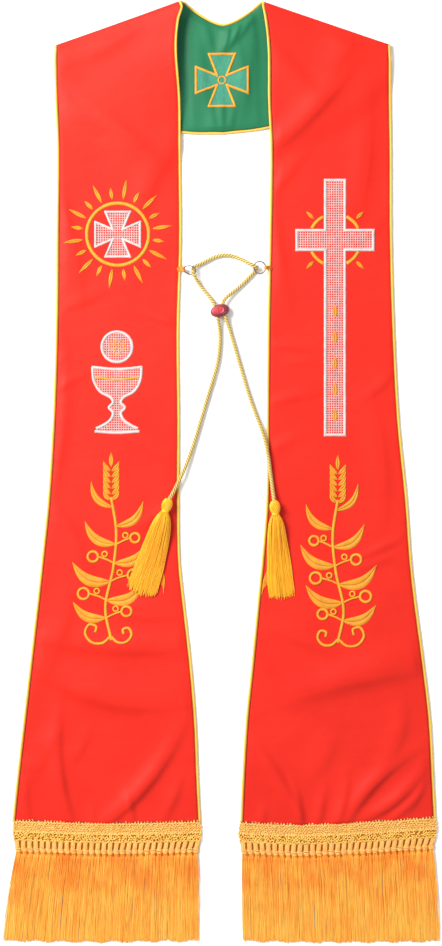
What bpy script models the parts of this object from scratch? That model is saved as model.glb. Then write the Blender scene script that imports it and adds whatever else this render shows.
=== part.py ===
# A clerical stole laid flat on a surface. Two satin bands lie side by side, fold at the
# shoulders and meet in a back piece that lies under them with its green lining upwards.
# Lengths below are millimetres and become metres where points are made.
# +X is to the right, +Y is towards the neck, +Z is up, and the surface is z = 0.
from collections import namedtuple
import math
import random

import bmesh
import bpy
from mathutils import Matrix, Vector

MM = 0.001

# ---- cloth ----
FACE_THICK = 1.6          # satin with its interlining
LINING_THICK = 1.1
SEAM_GAP = 0.3            # clear space between sewn pieces
PIPING_WIDE = 3.4
PIPING_FLOAT = 0.1        # the piping clears the surface by this much
FRONT_ROWS = 30           # sections from the hem to the shoulder fold
FOLD_STEPS = 6            # facets round the shoulder fold
BACK_ROWS = 8             # sections from the fold to the centre back
ACROSS = 10               # cells across a band

# ---- outline, piping included ----
HEM_Y = -482.3
CENTRE_X = 3.0
Edge = namedtuple("Edge", "y inner outer")
BANDS = {
    "left": (
        Edge(-484.5, -27.5, -289.5),
        Edge(-426, -30.5, -283.5),
        Edge(-343, -34, -274),
        Edge(-260, -41, -264.5),
        Edge(-176.5, -50.5, -255),
        Edge(-121.5, -56, -249),
        Edge(-38, -57.5, -240.5),
        Edge(73, -57, -233.5),
        Edge(197.5, -58, -229.5),
        Edge(322, -54.5, -228.5),
        Edge(447, -55.5, -227.5),
        Edge(516.5, -56, -230),
        Edge(591, -60.5, -231.5),
        Edge(650.5, -54, -231.5),
    ),
    "right": (
        Edge(-484.5, 26.5, 298.5),
        Edge(-426, 29, 295.5),
        Edge(-343, 34, 291),
        Edge(-260, 42.5, 281.5),
        Edge(-176.5, 50.5, 270.5),
        Edge(-121.5, 56, 264.5),
        Edge(-38, 62.5, 258.5),
        Edge(73, 63, 247.5),
        Edge(197.5, 64, 241),
        Edge(322, 66.5, 237.5),
        Edge(447, 68, 237),
        Edge(516.5, 65, 236),
        Edge(591, 64, 235.5),
        Edge(650.5, 57, 235.5),
    ),
}

# Shoulder folds run from the neck point to the shoulder point.
Fold = namedtuple("Fold", "neck_x neck_y shoulder_x shoulder_y")
FOLDS = {
    "left": Fold(-55.5, 652.0, -231.5, 591.0),
    "right": Fold(58.0, 652.0, 235.5, 592.0),
}

# The back's lower edge, from below the shoulder point to the centre back.
Spot = namedtuple("Spot", "x y")
BACK_HEM = {
    "left": (Spot(-198, 549.5), Spot(-158, 515), Spot(-108, 487), Spot(-54, 470), Spot(3, 468)),
    "right": (Spot(202.5, 551), Spot(162, 517.5), Spot(113.5, 492.5), Spot(62.5, 475.5), Spot(3, 468)),
}
NECK_PEAK_X = {"left": -50.5, "right": 55.0}
NECK_PEAK_Y = 652.0
NECK_DIP_Y = 621.5        # the neck curve's lowest point, at the centre back
NECK_SHAPE = 1.5          # 2 is a parabola, 1 a plain V
FOLD_SLANT = 1.1          # an edge crosses the fold at a slant, which takes this much more room
HEM_SAMPLES = 40          # of the back's lower edge, where heights are worked out

# Soft creases that lift the cloth off what it lies on.
Crease = namedtuple("Crease", "x y angle length width height")
CREASES = {
    "left": (
        Crease(-213, -445, 84, 60, 13, 3.0),
        Crease(-134, -440, 96, 75, 15, 3.4),
        Crease(-74, -430, 78, 55, 12, 2.6),
        Crease(-246, -395, 60, 50, 14, 2.0),
        Crease(-160, 585, 28, 60, 16, 2.2),
        Crease(-205, 330, 105, 90, 15, 1.8),
        Crease(-110, 400, 65, 85, 18, 2.0),
        Crease(-220, 40, 80, 110, 16, 1.6),
        Crease(-192, -95, 112, 60, 17, 1.5),
        Crease(-82, -300, 100, 60, 17, 1.8),
        Crease(-215, -230, 72, 95, 17, 1.8),
    ),
    "right": (
        Crease(110, -440, 97, 60, 13, 3.0),
        Crease(160, -432, 82, 80, 15, 3.4),
        Crease(238, -448, 48, 70, 14, 3.2),
        Crease(205, -390, 70, 50, 14, 1.8),
        Crease(145, 520, 52, 80, 17, 2.6),
        Crease(120, 590, 145, 55, 15, 2.0),
        Crease(200, 420, 82, 95, 16, 1.8),
        Crease(100, 250, 100, 90, 17, 1.6),
        Crease(225, 60, 96, 110, 16, 1.6),
        Crease(185, -50, 66, 70, 17, 1.5),
        Crease(112, -300, 82, 60, 17, 1.8),
        Crease(235, -200, 108, 95, 17, 1.8),
    ),
    "back": (
        Crease(8, 600, 80, 26, 7, 1.6),
        Crease(24, 606, 62, 24, 6, 1.4),
        Crease(-18, 602, 110, 24, 7, 1.3),
        Crease(-34, 520, 84, 40, 8, 1.5),
        Crease(2, 500, 94, 32, 8, 1.6),
        Crease(36, 505, 74, 30, 8, 1.3),
    ),
}
CREASE_FLOOR = 0.2        # less lift than this lies flat
CREASE_FADE = 16.0        # creases die out this far from an edge
FOLD_FADE = 30.0          # and this far from a shoulder fold or a hem
LINING_TUCK = 0.035       # of a side's length, clear of the fold's inner face
LINING_INSET = 0.5        # inside the face's own edges
LINING_HIDDEN = 4.0       # the lining lies flat until this far inside the opening
LINING_OPEN = 18.0        # and its creases have their full height this much further in
LINING_FADE = 12.0        # they die out this far from the lining's edges
DRAPE_START = 14.0        # a band lies level this far past the back's lower edge
DRAPE_LENGTH = 32.0       # then comes down to the surface over this length

# ---- fringe ----
LOCKS = 56                # on each hem
LOCK_WIDE = 3.3
LOCK_HIGH = 1.7
LOCK_ROOT = 2.5           # of each lock lies inside the heading
LOCK_FLOAT = 0.25         # a lock clears the surface by this much
LOCK_STRAY = 0.35         # sideways, at the tip
LOCK_UNEVEN = 2.5         # in length
SCALLOPS = 28
SCALLOP_HIGH = 1.3
FringeRow = namedtuple("FringeRow", "drop spread high")
HEADING = (               # down from the hem, past the hem's ends, above the surface
    FringeRow(1.9, 0.0, 1.2),
    FringeRow(6.5, 1.2, 3.1),
    FringeRow(15.0, 1.4, 1.8),
    FringeRow(33.0, -1.2, 3.3),
    FringeRow(38.5, -3.2, 2.6),
)
Fringe = namedtuple("Fringe", "left right tip_left tip_right tip_y")
FRINGES = {
    "left": Fringe(-289.0, -27.0, -303.2, -31.0, -647.5),
    "right": Fringe(25.0, 299.5, 30.0, 303.2, -647.5),
}

# ---- cord, rings, bead and tassels ----
CORD_THICK = 5.9
RING_ACROSS = 18.6
RING_WIRE = 1.8
Ring = namedtuple("Ring", "x y z turn tilt lean")
RINGS = {                 # degrees: turn about +Z, tilt about the ring's X, lean about its Y
    "left": Ring(-43.2, 280.0, 7.9, -12.0, 52.0, 0.0),
    "right": Ring(53.6, 283.5, 6.6, 0.0, 0.0, 7.0),
}
THREAD_THICK = 1.6        # the wound thread that ties each ring to the piping
THREAD_ROOT = 8.0         # in from the band's outline
THREAD_OVER = (3.4, 0.4)  # where it passes over the piping
THREAD_ANGLES = (115, 80, 40, 0, -40, -80, -115)

Turn = namedtuple("Turn", "x y z")
ARC_ROUTE = (             # from the left ring over to the right ring
    Turn(-38.9, 280.0, 7.9),
    Turn(-38.9, 281.4, 7.1),
    Turn(-37.7, 284.2, 5.8),
    Turn(-34.6, 286.2, 4.8),
    Turn(-29.8, 288.2, 3.9),
    Turn(-23.5, 291.2, 3.3),
    Turn(-15.0, 295.6, 3.1),
    Turn(-5.5, 299.4, 3.1),
    Turn(6.0, 301.0, 3.1),
    Turn(18.0, 299.2, 3.3),
    Turn(29.0, 294.4, 6.0),
    Turn(38.0, 289.2, 10.3),
    Turn(43.4, 286.2, 12.0),
    Turn(47.0, 284.8, 11.4),
    Turn(49.2, 283.9, 10.0),
    Turn(49.6, 283.6, 8.9),
    Turn(49.6, 283.6, 7.4),
)
LEFT_ROUTE = (            # from the left ring through the bead to the left tassel
    Turn(-38.9, 279.7, 8.1),
    Turn(-38.9, 278.3, 8.9),
    Turn(-38.1, 275.0, 9.6),
    Turn(-35.6, 269.6, 8.4),
    Turn(-31.2, 262.4, 5.2),
    Turn(-25.8, 254.9, 3.4),
    Turn(-16.4, 243.2, 5.2),
    Turn(-9.6, 232.4, 7.4),
    Turn(-6.8, 222.4, 7.5),
    Turn(-4.3, 212.4, 7.2),
    Turn(-2.4, 201.5, 4.3),
    Turn(-1.4, 189.0, 3.1),
    Turn(-1.9, 173.0, 3.1),
    Turn(-4.6, 153.0, 3.1),
    Turn(-10.0, 132.5, 3.1),
    Turn(-18.0, 106.0, 3.1),
    Turn(-27.8, 73.0, 3.2),
    Turn(-38.0, 39.0, 3.5),
    Turn(-46.5, 15.0, 5.0),
    Turn(-54.5, -4.0, 6.9),
    Turn(-61.5, -18.5, 6.9),
    Turn(-67.0, -29.0, 8.2),
    Turn(-71.2, -36.6, 9.6),
)
RIGHT_ROUTE = (           # from the right ring through the bead to the right tassel
    Turn(49.6, 283.6, 7.1),
    Turn(49.6, 283.6, 5.6),
    Turn(48.2, 281.2, 3.7),
    Turn(44.2, 276.2, 3.1),
    Turn(37.0, 268.2, 3.1),
    Turn(27.0, 258.6, 3.2),
    Turn(16.5, 249.8, 4.4),
    Turn(7.6, 242.4, 6.5),
    Turn(2.9, 235.4, 7.4),
    Turn(4.3, 225.0, 7.5),
    Turn(6.5, 215.0, 7.2),
    Turn(9.6, 205.5, 4.6),
    Turn(13.6, 192.5, 3.1),
    Turn(20.8, 168.0, 3.1),
    Turn(29.3, 138.5, 3.1),
    Turn(38.5, 108.0, 3.2),
    Turn(48.0, 81.0, 3.6),
    Turn(55.5, 61.5, 5.4),
    Turn(61.5, 42.0, 7.0),
    Turn(64.2, 28.0, 7.1),
    Turn(66.6, 13.0, 6.8),
    Turn(69.2, -6.0, 5.3),
    Turn(71.6, -25.0, 6.8),
    Turn(73.4, -39.0, 9.5),
)
CORD_STEP = 12.5          # between the tube's points, finer round the rings
RING_TURN_STEP = 3.2
RING_TURN_LENGTH = 18.0   # of cord beside a ring that takes the finer points

BEAD_LONG = 27.0
BEAD_DEEP = 18.5
BEAD_HIGH = 14.6
BEAD_TURN = 14.0          # degrees about +Z
BEAD_X = -1.3
BEAD_Y = 223.6
SLOT_LONG = 20.0
SLOT_HIGH = 7.0

Tassel = namedtuple("Tassel", "x y turn length spread locks")
TASSELS = {               # x and y at the head's middle, turn from straight down
    "left": Tassel(-74.8, -45.2, -16.5, 120.0, 46.0, 13),
    "right": Tassel(74.6, -48.5, 4.5, 121.0, 33.0, 12),
}
HEAD_RADIUS = 7.6
Ledge = namedtuple("Ledge", "along radius")
HEAD_PROFILE = (          # the knotted head and the bound neck that holds the locks
    Ledge(-9.0, 0.0),
    Ledge(-8.2, 3.6),
    Ledge(-5.0, 6.8),
    Ledge(-0.5, 7.6),
    Ledge(4.0, 6.6),
    Ledge(7.0, 5.0),
    Ledge(9.0, 5.9),
    Ledge(13.5, 6.3),
    Ledge(14.5, 0.0),
)
LOCK_LAYERS = 3
LOCK_START = 11.0         # along from the head's middle, inside its bound neck
LAYER_GAP = 2.6           # between layers at the neck
LAYER_LIFT = 3.1          # between layers at the tips
TASSEL_TABLE = 1.2        # the lowest tips lie this far above the cloth, to their middle
SKIRT_WIDTHS = (0.45, 1.15, 1.9)
SKIRT_HIGHS = (0.9, 1.6, 1.9)
SKIRT_ROOT = 4.4          # half the roots' spread across the neck

SEED = 7

# ---- derived heights ----
LINING_BASE = FACE_THICK + SEAM_GAP
BACK_STACK = max(LINING_BASE + LINING_THICK, PIPING_WIDE + PIPING_FLOAT)
FRONT_BASE = BACK_STACK + SEAM_GAP
FOLD_AXIS_Z = (FRONT_BASE + FACE_THICK) / 2
FOLD_RADIUS = FOLD_AXIS_Z - FACE_THICK / 2
PIPING_LIFT = PIPING_WIDE / 2 + PIPING_FLOAT
EDGE_INSET = PIPING_WIDE + SEAM_GAP
PIPING_OUT = PIPING_WIDE / 2 + SEAM_GAP


def point(x, y, z=0.0):
    return Vector((x, y, z)) * MM


def smoothstep(value):
    t = min(max(value, 0.0), 1.0)
    return t * t * (3 - 2 * t)


def through(knots, values, at):
    # value at one place on a smooth curve through the given knots
    last = len(knots) - 1
    step = next((k for k in range(last) if at <= knots[k + 1]), last - 1)
    slopes = []
    for k in (step, step + 1):
        low, high = max(k - 1, 0), min(k + 1, last)
        slopes.append((values[high] - values[low]) / (knots[high] - knots[low]))
    gap = knots[step + 1] - knots[step]
    t = min(max((at - knots[step]) / gap, 0.0), 1.0)
    rise = values[step] * (2 * t**3 - 3 * t**2 + 1) + values[step + 1] * (3 * t**2 - 2 * t**3)
    return rise + gap * (slopes[0] * (t**3 - 2 * t**2 + t) + slopes[1] * (t**3 - t**2))


def run_through(points, at):
    # point on the smooth curve through points, for at from 0 to 1 along their length
    lengths = [0.0]
    for before, after in zip(points, points[1:]):
        lengths.append(lengths[-1] + (after - before).length)
    place = at * lengths[-1]
    return Vector([through(lengths, [p[axis] for p in points], place) for axis in range(3)])


def edge_x(side, name, y):
    rows = BANDS[side]
    return through([row.y for row in rows], [getattr(row, name) for row in rows], y)


def fold_axis(side):
    # the shoulder fold's axis: its two ends, and the level direction out of the fold
    fold = FOLDS[side]
    neck = Vector((fold.neck_x, fold.neck_y, 0))
    shoulder = Vector((fold.shoulder_x, fold.shoulder_y, 0))
    along = (shoulder - neck).normalized()
    outward = Vector((-along.y, along.x, 0))
    outward *= 1 if outward.y > 0 else -1
    sink = outward * (FOLD_RADIUS + FACE_THICK / 2)
    inset = along * EDGE_INSET * FOLD_SLANT
    return neck + inset - sink, shoulder - inset - sink, outward


def back_hem_points(side):
    fold = FOLDS[side]
    corner = Vector((fold.shoulder_x, fold.shoulder_y, 0))
    return [corner] + [Vector((spot.x, spot.y, 0)) for spot in BACK_HEM[side]]


def neck_curve(side, t):
    # from the neck point, t = 0, to the centre back, t = 1
    x = NECK_PEAK_X[side] + (CENTRE_X - NECK_PEAK_X[side]) * t
    y = NECK_DIP_Y + (NECK_PEAK_Y - NECK_DIP_Y) * (1 - t) ** NECK_SHAPE
    return Vector((x, y, 0))


def inset_edge(points, inward):
    # moves a row of edge points sideways by the piping's room, towards the cloth
    moved = []
    for k, here in enumerate(points):
        before = points[max(k - 1, 0)]
        after = points[min(k + 1, len(points) - 1)]
        run = (after - before).normalized()
        side = Vector((-run.y, run.x, 0))
        side *= 1 if side.dot(inward) > 0 else -1
        moved.append(here + side * EDGE_INSET)
    return moved


def front_edges(side):
    # cloth edge points, row by row, from the hem to the shoulder fold
    neck, shoulder, _ = fold_axis(side)
    inner, outer = [], []
    for k in range(FRONT_ROWS + 1):
        t = k / FRONT_ROWS
        inner_y = HEM_Y + (neck.y - HEM_Y) * t
        outer_y = HEM_Y + (shoulder.y - HEM_Y) * t
        inner.append(Vector((edge_x(side, "inner", inner_y), inner_y, 0)))
        outer.append(Vector((edge_x(side, "outer", outer_y), outer_y, 0)))
    towards = Vector((-1 if side == "left" else 1, 0, 0))
    inner = inset_edge(inner, towards)
    outer = inset_edge(outer, -towards)
    inner[-1], outer[-1] = neck.copy(), shoulder.copy()
    return inner, outer


def back_edges(side):
    # cloth edge points, row by row, from the shoulder fold to the centre back
    neck, shoulder, _ = fold_axis(side)
    hem = back_hem_points(side)
    steps = [k / BACK_ROWS for k in range(BACK_ROWS + 1)]
    inner = inset_edge([neck_curve(side, t) for t in steps], Vector((0, -1, 0)))
    outer = inset_edge([run_through(hem, t) for t in steps], Vector((0, 1, 0)))
    inner[0], outer[0] = neck.copy(), shoulder.copy()
    seam = -SEAM_GAP / 2 if side == "left" else SEAM_GAP / 2
    inner[-1].x = outer[-1].x = CENTRE_X + seam
    return inner, outer


def past_back_hem(x, y):
    # distance outside the back's lower edge, negative over the back itself
    here = Vector((x, y, 0))
    best = None
    for side in ("left", "right"):
        hem = back_hem_points(side)
        samples = [run_through(hem, k / HEM_SAMPLES) for k in range(HEM_SAMPLES + 1)]
        for start, end in zip(samples, samples[1:]):
            run = end - start
            t = min(max((here - start).dot(run) / run.length_squared, 0), 1)
            nearest = start + run * t
            away = (here - nearest).length
            if best is None or away < best[0]:
                above = here.y > nearest.y
                best = (away, above)
    return -best[0] if best[1] else best[0]


def band_height(x, y):
    # how far the underside of a band lies above the surface
    down = smoothstep((past_back_hem(x, y) - DRAPE_START) / DRAPE_LENGTH)
    return FRONT_BASE * (1 - down)


def crease_lift(name, x, y):
    lift = 0.0
    for crease in CREASES[name]:
        lean = math.radians(crease.angle)
        along = (x - crease.x) * math.cos(lean) + (y - crease.y) * math.sin(lean)
        off = (y - crease.y) * math.cos(lean) - (x - crease.x) * math.sin(lean)
        lift += crease.height * math.exp(-(along / crease.length) ** 2 - (off / crease.width) ** 2)
    return max(lift - CREASE_FLOOR, 0.0)


def between(inner, outer, share):
    return inner + (outer - inner) * share


def face_rows(side):
    # sections of the face's middle surface, from the hem to the centre back
    rows = []
    inner, outer = front_edges(side)
    for k, (low, high) in enumerate(zip(inner, outer)):
        row = []
        for cell in range(ACROSS + 1):
            share = cell / ACROSS
            spot = between(low, high, share)
            wide = (high - low).length
            ends = min(share, 1 - share) * wide / CREASE_FADE
            tips = min(k, FRONT_ROWS - k) / FRONT_ROWS * (inner[-1].y - HEM_Y) / FOLD_FADE
            fade = smoothstep(ends) * smoothstep(tips)
            rise = FRONT_BASE if k == FRONT_ROWS else band_height(spot.x, spot.y)
            lift = crease_lift(side, spot.x, spot.y) * fade
            row.append(point(spot.x, spot.y, rise + FACE_THICK / 2 + lift))
        rows.append(row)
    neck, shoulder, outward = fold_axis(side)
    for k in range(1, FOLD_STEPS):
        angle = math.pi * k / FOLD_STEPS
        reach = outward * math.sin(angle) * FOLD_RADIUS
        z = FOLD_AXIS_Z + math.cos(angle) * FOLD_RADIUS
        row = [between(neck, shoulder, cell / ACROSS) + reach for cell in range(ACROSS + 1)]
        rows.append([point(p.x, p.y, z) for p in row])
    inner, outer = back_edges(side)
    for low, high in zip(inner, outer):
        row = [between(low, high, cell / ACROSS) for cell in range(ACROSS + 1)]
        rows.append([point(p.x, p.y, FACE_THICK / 2) for p in row])
    return rows


def lining_rows():
    # sections of the neck lining's middle surface, from the left fold to the right fold
    rows = []
    cells = ACROSS // 2
    for side in ("left", "right"):
        neck_side, hem_side = back_edges(side)
        half = []
        for k in range(BACK_ROWS + 1):
            t = max(k / BACK_ROWS, LINING_TUCK)
            low = run_through(neck_side, t)
            high = run_through(hem_side, t)
            if k == BACK_ROWS:
                low.x = high.x = CENTRE_X
            run = (high - low).normalized()
            low += run * LINING_INSET
            high -= run * LINING_INSET
            row = []
            for cell in range(cells + 1):
                share = cell / cells
                spot = between(low, high, share)
                inside = edge_x(side, "inner", spot.y) - spot.x
                inside *= -1 if side == "left" else 1
                open_part = smoothstep((inside - LINING_HIDDEN) / LINING_OPEN)
                ends = smoothstep(min(share, 1 - share) * (high - low).length / LINING_FADE)
                lift = crease_lift("back", spot.x, spot.y) * open_part * ends
                row.append(point(spot.x, spot.y, LINING_BASE + LINING_THICK / 2 + lift))
            half.append(row)
        rows.append(half)
    return rows[0] + rows[1][-2::-1]


def piping_path(side, edge):
    # middle line of the piping along one edge of a band, from the hem to the centre back
    path = []
    which = 0 if edge == "inner" else 1
    front = front_edges(side)
    neck, shoulder, outward = fold_axis(side)
    along = (shoulder - neck).normalized() * PIPING_OUT * FOLD_SLANT
    turn = neck - along if edge == "inner" else shoulder + along
    for k, spot in enumerate(front[which]):
        other = front[1 - which][k]
        away = Vector(((spot - other).x, 0, 0)).normalized()
        place = turn if k == FRONT_ROWS else spot + away * PIPING_OUT
        rise = FRONT_BASE if k == FRONT_ROWS else band_height(place.x, place.y)
        path.append(point(place.x, place.y, rise + PIPING_LIFT))
    radius = FRONT_BASE / 2
    for k in range(1, FOLD_STEPS):
        angle = math.pi * k / FOLD_STEPS
        place = turn + outward * math.sin(angle) * radius
        path.append(point(place.x, place.y, radius + PIPING_LIFT + math.cos(angle) * radius))
    path.append(point(turn.x, turn.y, PIPING_LIFT))
    back = back_edges(side)[which]
    for k in range(1, BACK_ROWS + 1):
        run = (back[min(k + 1, BACK_ROWS)] - back[k - 1]).normalized()
        away = Vector((-run.y, run.x, 0))
        away *= 1 if (away.y > 0) == (edge == "inner") else -1
        place = back[k] + away * PIPING_OUT
        path.append(point(CENTRE_X if k == BACK_ROWS else place.x, place.y, PIPING_LIFT))
    return path


def material(name, colour, rough, metal=0.0):
    made = bpy.data.materials.new(name)
    made.use_nodes = True
    shader = made.node_tree.nodes["Principled BSDF"]
    shader.inputs["Base Color"].default_value = (*colour, 1)
    shader.inputs["Roughness"].default_value = rough
    shader.inputs["Metallic"].default_value = metal
    made.diffuse_color = (*colour, 1)
    return made


def place_object(name, data, finish, collection):
    made = bpy.data.objects.new(name, data)
    if finish:
        made.data.materials.append(finish)
    collection.objects.link(made)
    return made


def shell(name, rows, thick, finish, collection):
    # an open surface through sections, given its thickness by Solidify
    mesh = bpy.data.meshes.new(name)
    form = bmesh.new()
    grid = [[form.verts.new(spot) for spot in row] for row in rows]
    for low, high in zip(grid, grid[1:]):
        for a, b, c, d in zip(low, low[1:], high[1:], high):
            form.faces.new((a, b, c, d))
    bmesh.ops.recalc_face_normals(form, faces=form.faces)
    form.to_mesh(mesh)
    form.free()
    mesh.shade_smooth()
    made = place_object(name, mesh, finish, collection)
    wall = made.modifiers.new("cloth", "SOLIDIFY")
    wall.thickness = thick * MM
    wall.offset = 0
    wall.use_even_offset = True
    return made


def tube(name, path, thick, finish, collection, sides_level=2):
    curve = bpy.data.curves.new(name, "CURVE")
    curve.dimensions = "3D"
    curve.bevel_depth = thick / 2 * MM
    curve.bevel_resolution = sides_level
    curve.use_fill_caps = True
    curve.render_resolution_u = 0
    line = curve.splines.new("POLY")
    line.points.add(len(path) - 1)
    for spot, place in zip(line.points, path):
        spot.co = (*place, 1)
    return place_object(name, curve, finish, collection)


def guide(name, mesh, cutters):
    made = place_object(name, mesh, None, cutters)
    made.hide_render = True
    made.display_type = "WIRE"
    return made


def join_or_cut(target, tool, operation):
    step = target.modifiers.new(operation.lower(), "BOOLEAN")
    step.object = tool
    step.operation = operation
    step.solver = "EXACT"


def add_lock(form, spine, widths, highs):
    # one flat lock of threads: a four-sided tapering strand along its spine
    loops = []
    for k, here in enumerate(spine):
        run = (spine[min(k + 1, len(spine) - 1)] - spine[max(k - 1, 0)]).normalized()
        across = run.cross(Vector((0, 0, 1))).normalized() * widths[k] / 2
        up = across.cross(run).normalized() * highs[k] / 2
        corners = (here - across - up, here + across - up, here + across + up, here - across + up)
        loops.append([form.verts.new(corner * MM) for corner in corners])
    for low, high in zip(loops, loops[1:]):
        for k in range(4):
            form.faces.new((low[k], low[(k + 1) % 4], high[(k + 1) % 4], high[k]))
    form.faces.new(loops[0][::-1])
    form.faces.new(loops[-1])


def locks_mesh(name, spines, widths, highs):
    mesh = bpy.data.meshes.new(name)
    form = bmesh.new()
    for spine in spines:
        add_lock(form, spine, widths, highs)
    bmesh.ops.recalc_face_normals(form, faces=form.faces)
    form.to_mesh(mesh)
    form.free()
    return mesh


def heading_mesh(name, fringe):
    # the crocheted heading: scalloped above, level below, flat underneath
    mesh = bpy.data.meshes.new(name)
    form = bmesh.new()
    columns = SCALLOPS * 2
    grid = []
    for level, row in enumerate(HEADING):
        line = []
        for k in range(columns + 1):
            share = k / columns
            left = fringe.left - row.spread
            x = left + (fringe.right + row.spread - left) * share
            wave = SCALLOP_HIGH * (k % 2) if level == 0 else 0
            line.append(form.verts.new(point(x, HEM_Y - row.drop + wave, row.high)))
        grid.append(line)
    for low, high in zip(grid, grid[1:]):
        for a, b, c, d in zip(low, low[1:], high[1:], high):
            form.faces.new((a, b, c, d))
    rim = [e for e in form.edges if e.is_boundary]
    walls = bmesh.ops.extrude_edge_only(form, edges=rim)["geom"]
    for vert in (v for v in walls if isinstance(v, bmesh.types.BMVert)):
        vert.co.z = 0
    form.faces.new([loop.vert for loop in floor_loop(form)])
    bmesh.ops.recalc_face_normals(form, faces=form.faces)
    form.to_mesh(mesh)
    form.free()
    return mesh


def floor_loop(form):
    # the boundary edges' loops in order, for the underside's one face
    edge = next(e for e in form.edges if e.is_boundary)
    start = edge.link_loops[0]
    loops, loop = [], start
    while True:
        loops.append(loop)
        turn = loop.link_loop_prev
        while not turn.edge.is_boundary:
            turn = turn.link_loop_radial_next.link_loop_prev
        loop = turn
        if loop == start:
            return loops


def add_fringe(side, finish, parts, cutters):
    fringe = FRINGES[side]
    rng = random.Random(SEED + (side == "right"))
    name = "fringe_" + side
    heading = place_object(name, heading_mesh(name, fringe), finish, parts)
    root_row = HEADING[-1]
    root_y = HEM_Y - root_row.drop + LOCK_ROOT
    margin = LOCK_WIDE * 0.75
    left = fringe.left - root_row.spread + margin
    right = fringe.right + root_row.spread - margin
    spines = []
    for k in range(LOCKS):
        share = k / (LOCKS - 1)
        root_x = left + (right - left) * share
        tip_x = fringe.tip_left + margin + (fringe.tip_right - fringe.tip_left - 2 * margin) * share
        tip_x += rng.uniform(-LOCK_STRAY, LOCK_STRAY)
        sag = LOCK_UNEVEN * math.sin(math.pi * share)
        tip_y = fringe.tip_y - sag + rng.uniform(-LOCK_UNEVEN, LOCK_UNEVEN)
        bow = rng.uniform(-LOCK_STRAY, LOCK_STRAY)
        z = LOCK_HIGH / 2 + LOCK_FLOAT
        lift = rng.uniform(0.0, 0.6)
        middle_x = root_x + (tip_x - root_x) * 0.42 + bow
        spines.append((
            Vector((root_x, root_y, z)),
            Vector((middle_x, root_y + (tip_y - root_y) * 0.5, z + lift)),
            Vector((tip_x, tip_y, z)),
        ))
    widths = (LOCK_WIDE * 0.85, LOCK_WIDE, LOCK_WIDE * 0.7)
    highs = (LOCK_HIGH * 0.9, LOCK_HIGH, LOCK_HIGH * 0.7)
    locks = locks_mesh(name + "_locks", spines, widths, highs)
    join_or_cut(heading, guide(name + "_locks", locks, cutters), "UNION")


def ring_matrix(side):
    ring = RINGS[side]
    lean = Matrix.Rotation(math.radians(ring.lean), 4, "Y")
    stand = Matrix.Rotation(math.radians(ring.tilt), 4, "X")
    spin = Matrix.Rotation(math.radians(ring.turn), 4, "Z")
    return Matrix.Translation(point(ring.x, ring.y, ring.z)) @ spin @ stand @ lean


def add_ring(side, finish, parts):
    bpy.ops.mesh.primitive_torus_add(
        major_segments=20, minor_segments=6,
        major_radius=(RING_ACROSS - RING_WIRE) / 2 * MM, minor_radius=RING_WIRE / 2 * MM)
    made = bpy.context.object
    made.name = "ring_" + side
    made.data.materials.append(finish)
    made.matrix_world = ring_matrix(side)
    made.data.shade_smooth()
    for home in list(made.users_collection):
        home.objects.unlink(made)
    parts.objects.link(made)


def add_thread_loop(side, finish, parts):
    # a hook of thread from the cloth over the piping and round the ring's wire
    place = ring_matrix(side)
    out = 1 if side == "left" else -1
    radius = (RING_ACROSS - RING_WIRE) / 2
    wire = place @ point(-out * radius, 0) / MM
    axis = (place.to_3x3() @ Vector((0, 0, 1))).normalized()
    edge = edge_x(side, "inner", wire.y)
    clear = THREAD_THICK / 2 + SEAM_GAP
    wrap = RING_WIRE / 2 + clear
    path = [
        point(edge - out * THREAD_ROOT, wire.y, FACE_THICK + clear + PIPING_FLOAT),
        point(edge - out * THREAD_OVER[0], wire.y, PIPING_WIDE + clear),
        point(edge - out * THREAD_OVER[1], wire.y, PIPING_WIDE + PIPING_FLOAT + clear),
    ]
    for angle in THREAD_ANGLES:
        lean = math.radians(angle)
        spot = wire + Vector((out * wrap * math.cos(lean), 0, 0)) + axis * wrap * math.sin(lean)
        path.append(spot * MM)
    tube("thread_loop_" + side, path, THREAD_THICK, finish, parts, sides_level=1)


def cord_tube(name, route, fine_end, finish, parts):
    # samples the smooth route: fine beside a ring, wider along the free stretch;
    # the first and last stretches stay straight, so that ends meet face to face
    stops = [Vector(stop) for stop in route]
    chords = [(b - a).length for a, b in zip(stops, stops[1:])]
    length = sum(chords)
    last_run = length - chords[-1]
    places = [0.0, chords[0]]
    while places[-1] < last_run:
        fine = places[-1] < RING_TURN_LENGTH or places[-1] > length - fine_end
        places.append(places[-1] + (RING_TURN_STEP if fine else CORD_STEP))
    places[-1] = last_run
    if places[-1] - places[-2] < RING_TURN_STEP / 2:
        del places[-2]
    path = [run_through(stops, place / length) * MM for place in places + [length]]
    tube(name, path, CORD_THICK, finish, parts)


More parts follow.
